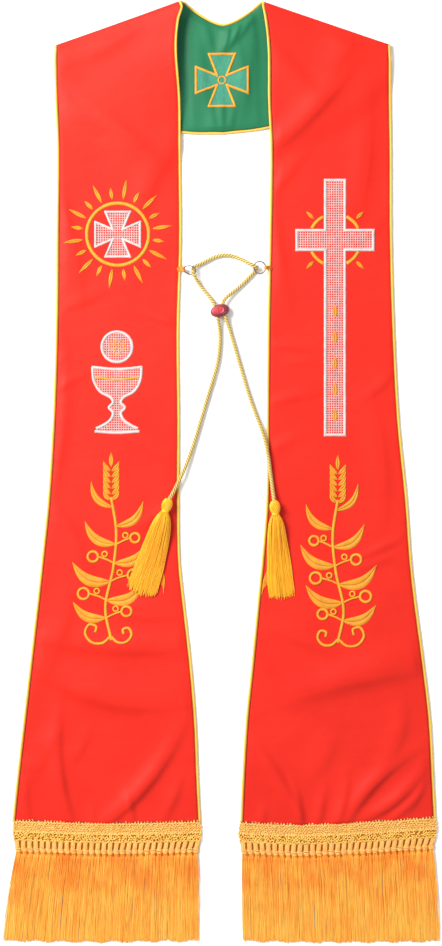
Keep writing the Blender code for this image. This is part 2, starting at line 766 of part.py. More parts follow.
def add_bead(finish, parts, cutters):
    bpy.ops.mesh.primitive_uv_sphere_add(segments=20, ring_count=12, radius=0.5)
    bead = bpy.context.object
    bead.name = "bead"
    bead.data.materials.append(finish)
    for vert in bead.data.vertices:
        vert.co = Vector((vert.co.x * BEAD_LONG, vert.co.y * BEAD_DEEP, vert.co.z * BEAD_HIGH)) * MM
    turn = Matrix.Rotation(math.radians(BEAD_TURN), 4, "Z")
    bead.matrix_world = Matrix.Translation(point(BEAD_X, BEAD_Y, BEAD_HIGH / 2 + 0.2)) @ turn
    bead.data.shade_smooth()
    for home in list(bead.users_collection):
        home.objects.unlink(bead)
    parts.objects.link(bead)
    slot = bpy.data.meshes.new("bead_slot")
    form = bmesh.new()
    outline = []
    for end in (1, -1):
        for k in range(7):
            angle = math.radians(-90 + 30 * k)
            x = end * (SLOT_LONG - SLOT_HIGH) / 2 + end * SLOT_HIGH / 2 * math.cos(angle)
            z = end * SLOT_HIGH / 2 * math.sin(angle)
            outline.append(form.verts.new(Vector((x, -BEAD_DEEP, z)) * MM))
    mouth = form.faces.new(outline)
    pushed = bmesh.ops.extrude_face_region(form, geom=[mouth])["geom"]
    moved = [v for v in pushed if isinstance(v, bmesh.types.BMVert)]
    bmesh.ops.translate(form, verts=moved, vec=Vector((0, 2 * BEAD_DEEP, 0)) * MM)
    bmesh.ops.recalc_face_normals(form, faces=form.faces)
    form.to_mesh(slot)
    form.free()
    cutter = guide("bead_slot", slot, cutters)
    cutter.matrix_world = bead.matrix_world
    join_or_cut(bead, cutter, "DIFFERENCE")


def head_mesh(name):
    # half outline turned about the tassel's own axis, which is local X
    mesh = bpy.data.meshes.new(name)
    form = bmesh.new()
    spots = [form.verts.new(point(ledge.along, ledge.radius)) for ledge in HEAD_PROFILE]
    line = [form.edges.new(pair) for pair in zip(spots, spots[1:])]
    bmesh.ops.spin(
        form, geom=spots + line, axis=(1, 0, 0), cent=(0, 0, 0),
        angle=2 * math.pi, steps=12, use_merge=True)
    bmesh.ops.remove_doubles(form, verts=form.verts, dist=0.00001)
    bmesh.ops.recalc_face_normals(form, faces=form.faces)
    form.to_mesh(mesh)
    form.free()
    mesh.shade_smooth()
    return mesh


def add_tassel(side, finish, parts, cutters):
    tassel = TASSELS[side]
    name = "tassel_" + side
    rng = random.Random(SEED + 10 + (side == "right"))
    height = FACE_THICK + SEAM_GAP + HEAD_RADIUS + PIPING_FLOAT
    turn = Matrix.Rotation(math.radians(-90 + tassel.turn), 4, "Z")
    head = place_object(name, head_mesh(name), finish, parts)
    head.matrix_world = Matrix.Translation(point(tassel.x, tassel.y, height)) @ turn
    spines = []
    for layer in range(LOCK_LAYERS):
        drop = (layer - 1) * LAYER_GAP
        tip_z = FACE_THICK + SEAM_GAP + TASSEL_TABLE + layer * LAYER_LIFT - height
        count = tassel.locks - layer
        for k in range(count):
            side_share = (k + 0.5) / count * 2 - 1
            reach = tassel.spread / 2 * side_share * (1 - 0.12 * layer)
            root_off = SKIRT_ROOT * side_share * (1 - 0.15 * abs(layer - 1))
            middle = 0.5 * reach + rng.uniform(-0.12, 0.12)
            end = tassel.length + rng.uniform(-4, 3) - abs(side_share) * 3
            spines.append((
                Vector((LOCK_START, root_off, drop)),
                Vector(((LOCK_START + tassel.length) / 2, middle, (drop + tip_z) / 2)),
                Vector((end, reach, tip_z)),
            ))
    locks_form = locks_mesh(name + "_locks", spines, SKIRT_WIDTHS, SKIRT_HIGHS)
    locks = guide(name + "_locks", locks_form, cutters)
    locks.matrix_world = head.matrix_world
    join_or_cut(head, locks, "UNION")


def build():
    for leftover in list(bpy.data.objects):
        bpy.data.objects.remove(leftover, do_unlink=True)
    parts = bpy.data.collections.new("clerical_stole")
    cutters = bpy.data.collections.new("cutters")
    bpy.context.scene.collection.children.link(parts)
    bpy.context.scene.collection.children.link(cutters)

    red = material("red_satin", (0.89, 0.055, 0.03), 0.42)
    green = material("green_satin", (0.06, 0.38, 0.19), 0.4)
    gold_satin = material("gold_piping", (0.9, 0.62, 0.16), 0.38)
    silk = material("gold_silk", (0.95, 0.5, 0.08), 0.45)
    orange = material("orange_thread", (0.9, 0.35, 0.05), 0.55)
    twist = material("pale_gold_cord", (0.8, 0.6, 0.22), 0.5)
    wire = material("bronze_wire", (0.42, 0.33, 0.26), 0.35, 0.9)
    painted = material("red_bead", (0.75, 0.1, 0.13), 0.3)

    for side in ("left", "right"):
        shell("face_" + side, face_rows(side), FACE_THICK, red, parts)
        add_fringe(side, silk, parts, cutters)
        add_ring(side, wire, parts)
        add_thread_loop(side, orange, parts)
        add_tassel(side, silk, parts, cutters)
    shell("lining_neck", lining_rows(), LINING_THICK, green, parts)
    for edge, name in (("inner", "piping_neck"), ("outer", "piping_outer")):
        path = piping_path("left", edge) + piping_path("right", edge)[-2::-1]
        tube(name, path, PIPING_WIDE, gold_satin, parts, sides_level=1)
    cord_tube("cord_arc", ARC_ROUTE, RING_TURN_LENGTH, twist, parts)
    cord_tube("cord_left", LEFT_ROUTE, 0, twist, parts)
    cord_tube("cord_right", RIGHT_ROUTE, 0, twist, parts)
    add_bead(painted, parts, cutters)


build()
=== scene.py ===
import math

import bpy
import numpy as np
from mathutils import Matrix, Vector


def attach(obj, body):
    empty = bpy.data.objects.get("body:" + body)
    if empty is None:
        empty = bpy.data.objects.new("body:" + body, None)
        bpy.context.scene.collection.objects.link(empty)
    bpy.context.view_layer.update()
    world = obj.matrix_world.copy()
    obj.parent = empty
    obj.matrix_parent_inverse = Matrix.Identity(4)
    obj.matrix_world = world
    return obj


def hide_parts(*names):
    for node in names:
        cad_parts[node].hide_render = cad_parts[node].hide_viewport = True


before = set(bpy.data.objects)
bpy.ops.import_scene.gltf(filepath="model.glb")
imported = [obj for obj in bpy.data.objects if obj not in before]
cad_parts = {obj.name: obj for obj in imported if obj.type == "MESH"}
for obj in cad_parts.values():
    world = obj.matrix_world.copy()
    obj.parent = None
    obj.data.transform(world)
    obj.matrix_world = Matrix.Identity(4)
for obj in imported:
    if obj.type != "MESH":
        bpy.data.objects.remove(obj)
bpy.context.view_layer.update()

# Lengths are millimetres unless a line says otherwise; mm turns them into metres.
# +X is to the right, +Y towards the neck, +Z up, and the floor is z = 0.
mm = 0.001
pi = math.pi
sides = ("left", "right")
chance = np.random.default_rng(41)

camera = {
    "height": 3.0,              # metres above the floor
    "middle": (0.0, -0.0007),   # metres
    "seen": 1.3112,             # metres of floor along the view's long side
    "sensor": 36.0,
}

lights = {
    "world": 0.56,
    "worldColour": (1.0, 1.0, 1.0),
    "key": {"spot": (-1.62, 1.1, 1.8), "size": 1.5, "power": 128.0, "colour": (1.0, 0.985, 0.96)},
    "fill": {"spot": (1.7, -1.4, 2.3), "size": 2.0, "power": 16.0, "colour": (0.97, 0.985, 1.0)},
    "floorSize": 9.0,           # metres
    "floorDrop": 0.3,
    "floorColour": (0.93, 0.93, 0.935),
    "floorDeep": 0.985,         # how much darker its deeper shade is
}


def addToScene(name, data):
    thing = bpy.data.objects.new(name, data)
    bpy.context.collection.objects.link(thing)
    return thing


def addCamera():
    data = bpy.data.cameras.new("camera")
    data.sensor_width = camera["sensor"]
    data.lens = camera["sensor"] * camera["height"] / camera["seen"]
    eye = addToScene("camera", data)
    eye.location = (*camera["middle"], camera["height"])
    bpy.context.scene.camera = eye


def addLight(name):
    facts = lights[name]
    data = bpy.data.lights.new(name, "AREA")
    data.shape = "DISK"
    data.size = facts["size"]
    data.energy = facts["power"]
    data.color = facts["colour"]
    lamp = addToScene(name, data)
    lamp.location = facts["spot"]
    lamp.rotation_euler = (-Vector(facts["spot"])).to_track_quat("-Z", "Y").to_euler()


print("camera and cord routes")
addCamera()

# One run for each stretch of the drawstring.
cordRoutes = {
    "arc": [
        (-38.9, 280, 7.9), (-38.9, 281.4, 7.1), (-37.7, 284.2, 5.8), (-34.6, 286.2, 4.8),
        (-29.8, 288.2, 3.9), (-23.5, 291.2, 3.3), (-15, 295.6, 3.1), (-5.5, 299.4, 3.1), (6, 301, 3.1),
        (18, 299.2, 3.3), (29, 294.4, 6), (38, 289.2, 10.3), (43.4, 286.2, 12), (47, 284.8, 11.4),
        (49.2, 283.9, 10), (49.6, 283.6, 8.9), (49.6, 283.6, 7.4),
    ],
    "left": [
        (-38.9, 279.7, 8.1), (-38.9, 278.3, 8.9), (-38.1, 275, 9.6), (-35.6, 269.6, 8.4),
        (-31.2, 262.4, 5.2), (-25.8, 254.9, 3.4), (-16.4, 243.2, 5.2), (-9.6, 232.4, 7.4),
        (-6.8, 222.4, 7.5), (-4.3, 212.4, 7.2), (-2.4, 201.5, 4.3), (-1.4, 189, 3.1), (-1.9, 173, 3.1),
        (-4.6, 153, 3.1), (-10, 132.5, 3.1), (-18, 106, 3.1), (-27.8, 73, 3.2), (-38, 39, 3.5),
        (-46.5, 15, 5), (-54.5, -4, 6.9), (-61.5, -18.5, 6.9), (-67, -29, 8.2), (-71.2, -36.6, 9.6),
        (-75.4, -47.5, 9.6), (-78.5, -58, 8.6), (-81.6, -68.5, 7.2),
    ],
    "right": [
        (49.6, 283.6, 7.1), (49.6, 283.6, 5.6), (48.2, 281.2, 3.7), (44.2, 276.2, 3.1), (37, 268.2, 3.1),
        (27, 258.6, 3.2), (16.5, 249.8, 4.4), (7.6, 242.4, 6.5), (2.9, 235.4, 7.4), (4.3, 225, 7.5),
        (6.5, 215, 7.2), (9.6, 205.5, 4.6), (13.6, 192.5, 3.1), (20.8, 168, 3.1), (29.3, 138.5, 3.1),
        (38.5, 108, 3.2), (48, 81, 3.6), (55.5, 61.5, 5.4), (61.5, 42, 7), (64.2, 28, 7.1), (66.6, 13, 6.8),
        (69.2, -6, 5.3), (71.6, -25, 6.8), (73.4, -39, 9.5), (74.5, -50, 9.6), (75.5, -61, 8.6),
        (76.4, -71.5, 7.2),
    ],
}


def smooth(value):
    t = np.clip(value, 0.0, 1.0)
    return t * t * (3 - 2 * t)


def stacked(*lines):
    # points from their coordinates, each of which may be one number
    return np.stack(np.broadcast_arrays(*lines), axis=-1)


def smoothCurve(knots, values, at):
    # values at many places on a smooth curve through the given knots
    at = np.clip(np.asarray(at, float), knots[0], knots[-1])
    last = len(knots) - 1
    k = np.clip(np.searchsorted(knots, at) - 1, 0, last - 1)
    low = np.maximum(np.arange(last + 1) - 1, 0)
    high = np.minimum(np.arange(last + 1) + 1, last)
    slopes = (values[high] - values[low]) / (knots[high] - knots[low])
    gap = knots[k + 1] - knots[k]
    t = (at - knots[k]) / gap
    rise = values[k] * (2 * t**3 - 3 * t**2 + 1) + values[k + 1] * (3 * t**2 - 2 * t**3)
    return rise + gap * (slopes[k] * (t**3 - 2 * t**2 + t) + slopes[k + 1] * (t**3 - t**2))


def fromTable(table, at, column=1):
    # a table's values, smoothed between its rows
    rows = np.array(table, float)
    return smoothCurve(rows[:, 0], rows[:, column], at)


def runLengths(points):
    steps = np.linalg.norm(np.diff(points, axis=-2), axis=-1)
    start = np.zeros(steps.shape[:-1] + (1,))
    return np.concatenate([start, np.cumsum(steps, axis=-1)], axis=-1)


def alongPath(points, share):
    # places on the smooth curve through a few points, by share of its length
    points = np.asarray(points, float)
    lengths = runLengths(points)
    return stacked(*(smoothCurve(lengths, line, share * lengths[-1]) for line in points.T))


def smoothPath(points, step):
    count = max(int(round(runLengths(np.asarray(points, float))[-1] / step)), 2)
    return alongPath(points, np.linspace(0, 1, count + 1))


def unit(vectors):
    return vectors / np.maximum(np.linalg.norm(vectors, axis=-1, keepdims=True), 1e-9)


def keptBends(points, far, bend):
    # the same path with its points closer together where it turns
    runs = unit(np.diff(points, axis=0))
    turned = np.append(np.arccos(np.clip((runs[1:] * runs[:-1]).sum(axis=1), -1, 1)), 0.0)
    steps = np.linalg.norm(np.diff(points, axis=0), axis=1)
    spent = np.append(0.0, np.cumsum(steps / far + turned / bend))
    at = np.linspace(0, spent[-1], int(spent[-1]) + 1)
    return stacked(*(np.interp(at, spent, line) for line in points.T))


def leftOf(line):
    # level directions square to a flat line, on its left
    run = unit(np.gradient(line, axis=0))
    return stacked(-run[:, 1], run[:, 0])


def insetLine(line, amount, inward):
    # the line moved over to the side that a level direction points to
    side = leftOf(line)
    side *= np.where(side @ np.array(inward, float) > 0, 1, -1)[:, None]
    return line + side * amount


def carriedSides(line):
    # sideways directions carried along a line without twisting
    runs = unit(np.gradient(line, axis=0))
    side = np.cross(runs[0], (0, 0, 1))
    if np.linalg.norm(side) < 0.2:
        side = np.cross(runs[0], (0, 1, 0))
    carried = []
    for run in runs:
        side = side - run * side.dot(run)
        side = side / np.linalg.norm(side)
        carried.append(side)
    return np.array(carried)


def joined(flat, z):
    return stacked(flat[..., 0], flat[..., 1], z)


def cellCorners(grids, axis):
    return np.stack([grids[:, :-1, :-1], grids[:, :-1, 1:], grids[:, 1:, 1:], grids[:, 1:, :-1]], axis=axis)


def gridPart(points, marks, slot=0, loop=False):
    # faces between rows of points; marks are the rows' UVs, in metres
    rows, cols = points.shape[:2]
    index = np.arange(rows * cols).reshape(rows, cols)
    if loop:
        index = np.concatenate([index, index[:, :1]], axis=1)
    return {"points": points.reshape(-1, 3), "faces": cellCorners(index[None], -1).reshape(-1, 4),
            "uvs": cellCorners(marks[None], -2).reshape(-1, 4, 2), "slot": slot}


def metreMarks(points):
    # UVs in metres: across the cloth, then along it
    across = runLengths(points)
    across = across - across[:, across.shape[1] // 2][:, None]
    along = runLengths(np.swapaxes(points, 0, 1)).T
    return stacked(across, along) * mm


def clothPart(points, slot=0):
    return gridPart(points, metreMarks(points), slot=slot)


def tubeParts(lines, radius, facets, slot=0, closed=False, across=None):
    # round threads along many lines at once; lines is (threads, points, 3)
    threads, count = lines.shape[:2]
    if closed:
        runs = unit(np.roll(lines, -1, axis=1) - np.roll(lines, 1, axis=1))
    else:
        runs = unit(np.gradient(lines, axis=1))
    if across is None:
        across = unit(np.cross(runs, (0.0, 0.0, 1.0)))
    tops = np.cross(across, runs)
    angle = np.arange(facets) / facets * 2 * pi
    ring = across[:, :, None] * np.cos(angle)[:, None] + tops[:, :, None] * np.sin(angle)[:, None]
    radius = np.broadcast_to(np.asarray(radius, float), (threads, count))
    points = lines[:, :, None] + ring * radius[:, :, None, None]
    index = np.arange(threads * count * facets).reshape(threads, count, facets)
    index = np.concatenate([index, index[:, :, :1]], axis=2)
    along = runLengths(lines) * mm
    if closed:
        index = np.concatenate([index, index[:, :1]], axis=1)
        along = np.concatenate([along, along[:, -1:] * 2 - along[:, -2:-1]], axis=1)
    marks = np.zeros(index.shape + (2,))
    marks[..., 0] = along[:, :, None]
    marks[..., 1] = np.arange(facets + 1) / facets
    part = {"points": points.reshape(-1, 3), "faces": cellCorners(index, -1).reshape(-1, 4)[:, ::-1],
            "uvs": cellCorners(marks, -2).reshape(-1, 4, 2)[:, ::-1], "slot": slot}
    if not closed:
        part["caps"] = np.concatenate([index[:, 0, :-1], index[:, -1, :-1][:, ::-1]])
    return [part]


def cordPart(line, radius, facets):
    # one round cord whose sides don't twist
    return tubeParts(line[None], radius, facets, across=carriedSides(line)[None])


def makePiece(name, parts, slots):
    # one mesh object from many parts; its slots are names of finishes
    mesh = bpy.data.meshes.new(name)
    points, corners, starts, uvs, chosen, rounded = [], [], [], [], [], []
    first = begin = 0
    for part in parts:
        points.append(part["points"])
        groups = [(part["faces"], part["uvs"].reshape(-1, 2), True)]
        if "caps" in part:
            groups.append((part["caps"], np.zeros((part["caps"].size, 2)), False))
        for faces, marks, soft in groups:
            rounded.append(np.full(len(faces), soft))
            corners.append((faces + first).ravel())
            starts.append(begin + np.arange(len(faces)) * faces.shape[1])
            chosen.append(np.full(len(faces), part["slot"]))
            uvs.append(marks)
            begin += faces.size
        first += len(part["points"])
    starts = np.concatenate(starts)
    mesh.vertices.add(first)
    mesh.vertices.foreach_set("co", (np.concatenate(points) * mm).ravel())
    mesh.loops.add(begin)
    mesh.loops.foreach_set("vertex_index", np.concatenate(corners).astype(np.int32))
    mesh.polygons.add(len(starts))
    mesh.polygons.foreach_set("loop_start", starts.astype(np.int32))
    mesh.polygons.foreach_set("material_index", np.concatenate(chosen).astype(np.int32))
    mesh.polygons.foreach_set("use_smooth", np.concatenate(rounded))
    mesh.update(calc_edges=True)
    mesh.uv_layers.new(name="thread").data.foreach_set("uv", np.concatenate(uvs).ravel())
    mesh.validate()
    for finish in slots:
        mesh.materials.append(bpy.data.materials[finish])
    return addToScene(name, mesh)


def addShell(name, points, slots, thick):
    # a thin cloth; its last finish shows on the underside
    piece = makePiece(name, [clothPart(points)], slots)
    wall = piece.modifiers.new("thickness", "SOLIDIFY")
    wall.thickness = thick * mm
    wall.offset = -1
    wall.material_offset = len(slots) - 1
    wall.material_offset_rim = 0
    return piece


def standsFor(piece, node=None):
    if node:
        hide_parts(node)
    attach(piece, "root")
    return piece


socketKinds = {"Vector": "NodeSocketVector", "Colour": "NodeSocketColor", "Deep": "NodeSocketColor"}


def connect(tree, sockets, values):
    # each value is a plain one or another node's output
    for key, value in values.items():
        if isinstance(value, bpy.types.NodeSocket):
            tree.links.new(value, sockets[key])
        else:
            sockets[key].default_value = value


def addNode(tree, kind, inputs=(), **settings):
    node = tree.nodes.new("ShaderNode" + kind)
    row, column = divmod(len(tree.nodes), 8)
    node.location = (200 * column - 1400, -320 * row)
    for key, value in settings.items():
        setattr(node, key, value)
    connect(tree, node.inputs, dict(inputs))
    return node.outputs


def addMath(tree, operation, *values):
    return addNode(tree, "Math", enumerate(values), operation=operation)[0]


def times(tree, first, second):
    return addMath(tree, "MULTIPLY", first, second)


def addNoise(tree, where, scale, detail, rough=0.5):
    return addNode(tree, "TexNoise", {
        "Vector": where, "Scale": scale, "Detail": detail, "Roughness": rough})[0]


def addRange(tree, value, low, high, start=0.0, end=1.0):
    return addNode(tree, "MapRange", {
        "Value": value, "From Min": low, "From Max": high, "To Min": start, "To Max": end})[0]


def addScaling(tree, where, size):
    return addNode(tree, "VectorMath", {0: where, 1: size}, operation="MULTIPLY")[0]


def addMix(tree, share, first, second):
    return addNode(tree, "Mix", {0: share, 6: first, 7: second}, data_type="RGBA")[2]


def addHumps(tree, value):
    # rises and falls once over each whole step of the value
    return addMath(tree, "ABSOLUTE", addMath(tree, "SINE", times(tree, value, pi)))


def addSockets(tree, way, labels):
    for label, value in labels.items():
        kind = socketKinds.get(label, "NodeSocketFloat")
        socket = tree.interface.new_socket(label, in_out=way, socket_type=kind)
        if value is not None:
            socket.default_value = value


def newGroup(name, inputs, effect):
    # the effect makes the outputs, by name, from the group's inputs
    tree = bpy.data.node_groups.new(name, "ShaderNodeTree")
    addSockets(tree, "INPUT", inputs)
    outputs = effect(tree, tree.nodes.new("NodeGroupInput").outputs)
    addSockets(tree, "OUTPUT", dict.fromkeys(outputs))
    connect(tree, tree.nodes.new("NodeGroupOutput").inputs, outputs)
    return tree


def weave(tree, given):
    # long floats crossed by short ties that step from thread to thread
    split = addNode(tree, "SeparateXYZ", {0: given["Vector"]})
    warp, weft = times(tree, split[0], given["Warp"]), times(tree, split[1], given["Weft"])
    step = times(tree, addMath(tree, "FLOOR", warp), 0.4)
    tie = addMath(tree, "POWER", addHumps(tree, addMath(tree, "ADD", weft, step)), 0.35)
    slub = times(tree, addNoise(tree, given["Vector"], 420.0, 2.0), given["Unevenness"])
    body = times(tree, addHumps(tree, warp), tie)
    return {"Height": addMath(tree, "ADD", body, slub), "Hollow": addMath(tree, "SUBTRACT", 1.0, body)}


def threadLines(tree, given):
    # threads laid side by side, such as satin stitch or a plied yarn
    split = addNode(tree, "SeparateXYZ", {0: given["Vector"]})
    lean = times(tree, split[1], given["Slant"])
    place = addMath(tree, "DIVIDE", addMath(tree, "ADD", split[0], lean), given["Pitch"])
    shift = times(tree, addNoise(tree, given["Vector"], 260.0, 1.0), given["Unevenness"])
    height = addMath(tree, "POWER", addHumps(tree, addMath(tree, "ADD", place, shift)), 0.6)
    return {"Height": height, "Groove": addMath(tree, "SUBTRACT", 1.0, height)}


def dyeDrift(tree, given):
    # slow drift between two shades
    mask = addRange(tree, addNoise(tree, given["Vector"], given["Scale"], 3.0, 0.6), 0.35, 0.7)
    colour = addMix(tree, times(tree, mask, given["Amount"]), given["Colour"], given["Deep"])
    return {"Colour": colour, "Mask": mask}


def fibreStreaks(tree, given):
    # streaks along fine fibres, from coordinates stretched across them
    stretched = times(tree, given["Fine"], given["Stretch"])
    size = addNode(tree, "CombineXYZ", {0: given["Fine"], 1: stretched, 2: given["Fine"]})[0]
    scaled = addScaling(tree, given["Vector"], size)
    fine, broad = addNoise(tree, scaled, 1.0, 2.0), addNoise(tree, scaled, 0.16, 1.0)
    both = addMath(tree, "MULTIPLY_ADD", fine, 0.45, times(tree, broad, 0.55))
    return {"Streak": addRange(tree, both, 0.38, 0.64), "Height": fine}


weaveGroup = newGroup("satinWeave", {
    "Vector": None, "Warp": 2300.0, "Weft": 900.0, "Unevenness": 0.3}, weave)
threadGroup = newGroup("threadLines", {
    "Vector": None, "Pitch": 0.0005, "Slant": 0.0, "Unevenness": 0.25}, threadLines)
dyeGroup = newGroup("dyeVariation", {
    "Vector": None, "Colour": None, "Deep": None, "Scale": 12.0, "Amount": 0.5}, dyeDrift)
fibreGroup = newGroup("fibreStreaks", {"Vector": None, "Fine": 1500.0, "Stretch": 0.03}, fibreStreaks)

# Each finish's colour, then its deeper shade, then the paler streaks of loose silk; the deeper shade also
# serves as painted shade in the hollows of satins, stitches and rope
dyes = {
    "redSatin": ((0.64, 0.0178, 0.0078), (0.54, 0.0105, 0.005)),
    "greenSatin": ((0.0145, 0.151, 0.068), (0.009, 0.104, 0.045)),
    "pipingSatin": ((0.74, 0.49, 0.085), (0.60, 0.30, 0.03)),
    # the piping's flange: a darker gold than the piping, as painted shade of the seam
    "seamGold": ((0.44, 0.15, 0.014), (0.32, 0.085, 0.008)),
    "goldStitch": ((0.77, 0.345, 0.010), (0.50, 0.16, 0.003)),
    "goldSlant": ((0.75, 0.325, 0.010), (0.46, 0.148, 0.003)),
    "whiteStitch": ((0.64, 0.55, 0.54), (0.44, 0.30, 0.29)),
    "netThread": ((0.62, 0.44, 0.425), (0.48, 0.24, 0.23)),
    "mintStitch": ((0.035, 0.27, 0.165), (0.02, 0.19, 0.115)),
    "crochetSilk": ((1.0, 0.66, 0.19), (0.97, 0.48, 0.08)),
    "bandSilk": ((1.0, 0.66, 0.14), (0.95, 0.45, 0.05)),
    "barSilk": ((1.0, 0.54, 0.15), (0.97, 0.38, 0.06)),
    # a dark seam thread, which also paints the shadow of the heading's edge on the cloth
    "seamRed": ((0.30, 0.012, 0.006), (0.16, 0.006, 0.003)),
    "orangeThread": ((0.94, 0.36, 0.02), (0.42, 0.10, 0.005)),
    # deeper copies of the heading's silk, painted as the shade seen between its stitches and through its
    # slits
    "backingSilk": ((0.95, 0.45, 0.07), (0.86, 0.33, 0.035), (1.0, 0.56, 0.12)),
    "bandShade": ((0.66, 0.22, 0.014), (0.50, 0.13, 0.008), (0.76, 0.30, 0.03)),
    "slitShade": ((0.46, 0.13, 0.006), (0.34, 0.08, 0.004), (0.56, 0.18, 0.01)),
    "fringeSilk": ((1.0, 0.49, 0.048), (0.97, 0.23, 0.008), (1.0, 0.66, 0.12)),
    "fringeDeep": ((1.0, 0.38, 0.022), (0.94, 0.22, 0.008), (1.0, 0.50, 0.05)),
    "tasselSilk": ((0.98, 0.44, 0.010), (0.95, 0.27, 0.004), (1.0, 0.57, 0.02)),
    "ropeYarn": ((0.80, 0.60, 0.20), (0.30, 0.20, 0.03)),
    "tarnishedWire": ((0.34, 0.27, 0.23), (0.14, 0.10, 0.08)),
    "beadFace": ((0.60, 0.05, 0.066), (0.26, 0.015, 0.028)),
    "beadSide": ((0.24, 0.016, 0.026), (0.11, 0.008, 0.02)),
    "paleFloor": (lights["floorColour"], tuple(c * lights["floorDeep"] for c in lights["floorColour"])),
}


def shadeOf(name, which):
    return (*dyes[name][which], 1)


def addGroup(tree, group, inputs):
    return addNode(tree, "Group", inputs, node_tree=group)


def addDye(tree, space, name, scale, amount):
    return addGroup(tree, dyeGroup, {
        "Vector": space, "Colour": shadeOf(name, 0), "Deep": shadeOf(name, 1), "Scale": scale,
        "Amount": amount})


def addBump(tree, height, strength, distance, normal=None):
    given = {"Height": height, "Strength": strength, "Distance": distance}
    return addNode(tree, "Bump", {**given, "Normal": normal} if normal else given)[0]


def startMaterial(name):
    # its nodes, where its threads run and where it is on the piece
    material = bpy.data.materials.new(name)
    material.use_nodes = True
    tree = material.node_tree
    return tree, addNode(tree, "UVMap", uv_map="thread")[0], addNode(tree, "TexCoord")["Object"]


def setSurface(tree, values):
    plain = {"Sheen Roughness": 0.4, "Specular IOR Level": 0.4}
    connect(tree, tree.nodes["Principled BSDF"].inputs, {**plain, **values})


def satinFinish(name, rough, sheen):
    # woven floats with painted shade in the hollows between them, faint handling marks and a slow drift of
    # the dye
    tree, threads, space = startMaterial(name)
    floats = addGroup(tree, weaveGroup, {"Vector": threads})
    dye = addDye(tree, space, name, 9.0, 0.55)
    # painted shade: the weave's hollows are mixed towards the deeper shade
    colour = addMix(tree, times(tree, floats["Hollow"], 0.16), dye["Colour"], shadeOf(name, 1))
    rumple = addNoise(tree, addScaling(tree, space, (0.45, 1.0, 1.0)), 34.0, 4.0)
    setSurface(tree, {
        "Base Color": colour, "Roughness": addMath(tree, "MULTIPLY_ADD", floats["Hollow"], 0.1, rough),
        "Normal": addBump(tree, floats["Height"], 0.2, 0.0001, addBump(tree, rumple, 0.5, 0.0024)),
        "Sheen Weight": sheen, "Specular IOR Level": 0.18})


def stitchFinish(name, pitch, slant, rough=0.42, sheen=0.08):
    # silk thread laid side by side, with painted shade in the grooves between threads
    tree, threads, space = startMaterial(name)
    lines = addGroup(tree, threadGroup, {"Vector": threads, "Pitch": pitch, "Slant": slant})
    dye = addDye(tree, space, name, 90.0, 0.5)
    # painted shade: the grooves between threads are mixed towards the deeper shade
    colour = addMix(tree, times(tree, lines["Groove"], 0.6), dye["Colour"], shadeOf(name, 1))
    setSurface(tree, {
        "Base Color": colour, "Normal": addBump(tree, lines["Height"], 0.6, pitch * 0.4),
        "Roughness": rough, "Sheen Weight": sheen, "Specular IOR Level": 0.45})


def silkFinish(name, rooted=0.0, sheen=0.08, specular=0.45):
    # loose silk fibres with paler streaks, deeper over the first length from the root
    tree, threads, space = startMaterial(name)
    fibres = addGroup(tree, fibreGroup, {"Vector": space, "Fine": 1500.0})
    dye = addDye(tree, space, name, 26.0, 0.45)
    colour = addMix(tree, times(tree, fibres["Streak"], 0.6), dye["Colour"], shadeOf(name, 2))
    if rooted:
        along = addNode(tree, "SeparateXYZ", {0: threads})[0]
        near = addRange(tree, along, 0.004, rooted, 1.0, 0.0)
        patches = addMath(tree, "MULTIPLY_ADD", dye["Mask"], 0.7, 0.25)
        colour = addMix(tree, times(tree, near, patches), colour, shadeOf(name, 1))
    setSurface(tree, {
        "Base Color": colour, "Normal": addBump(tree, fibres["Height"], 0.3, 0.0002),
        "Roughness": 0.4, "Sheen Weight": sheen, "Specular IOR Level": specular})


def ropeFinish(name):
    # plied yarn: its own plies lean the other way, and painted shade darkens the grooves between plies and
    # the side of each strand turned to the rope's middle
    tree, threads, space = startMaterial(name)
    around = addNode(tree, "SeparateXYZ", {0: threads})[1]
    inward = addMath(tree, "ABSOLUTE", addMath(tree, "SUBTRACT", around, 0.5))
    plies = addGroup(tree, threadGroup, {
        "Vector": threads, "Pitch": 0.0011, "Slant": -0.004, "Unevenness": 0.15})
    grooves = times(tree, plies["Groove"], 0.45)
    # painted shade in the ply grooves and on the inward side of each strand
    dark = addMath(tree, "MAXIMUM", grooves, addRange(tree, inward, 0.46, 0.32))
    colour = addMix(tree, dark, addDye(tree, space, name, 60.0, 0.25)["Colour"], shadeOf(name, 1))
    setSurface(tree, {
        "Base Color": colour, "Normal": addBump(tree, plies["Height"], 0.5, 0.0003),
        "Roughness": 0.45, "Sheen Weight": 0.3})


def wireFinish(name):
    # drawn wire with a thin tarnish
    tree, _, space = startMaterial(name)
    dye = addDye(tree, space, name, 240.0, 0.8)
    setSurface(tree, {
        "Base Color": dye["Colour"], "Normal": addBump(tree, dye["Mask"], 0.15, 0.0001),
        "Roughness": addMath(tree, "MULTIPLY_ADD", dye["Mask"], 0.2, 0.36), "Metallic": 0.75})


def beadFinish(name, rough, coat):
    # mottled lacquer over wood
    tree, _, space = startMaterial(name)
    setSurface(tree, {
        "Base Color": addDye(tree, space, name, 300.0, 0.95)["Colour"],
        "Normal": addBump(tree, addNoise(tree, space, 900.0, 2.0), 0.25, 0.0002),
        "Roughness": rough, "Coat Weight": coat, "Specular IOR Level": 0.5})


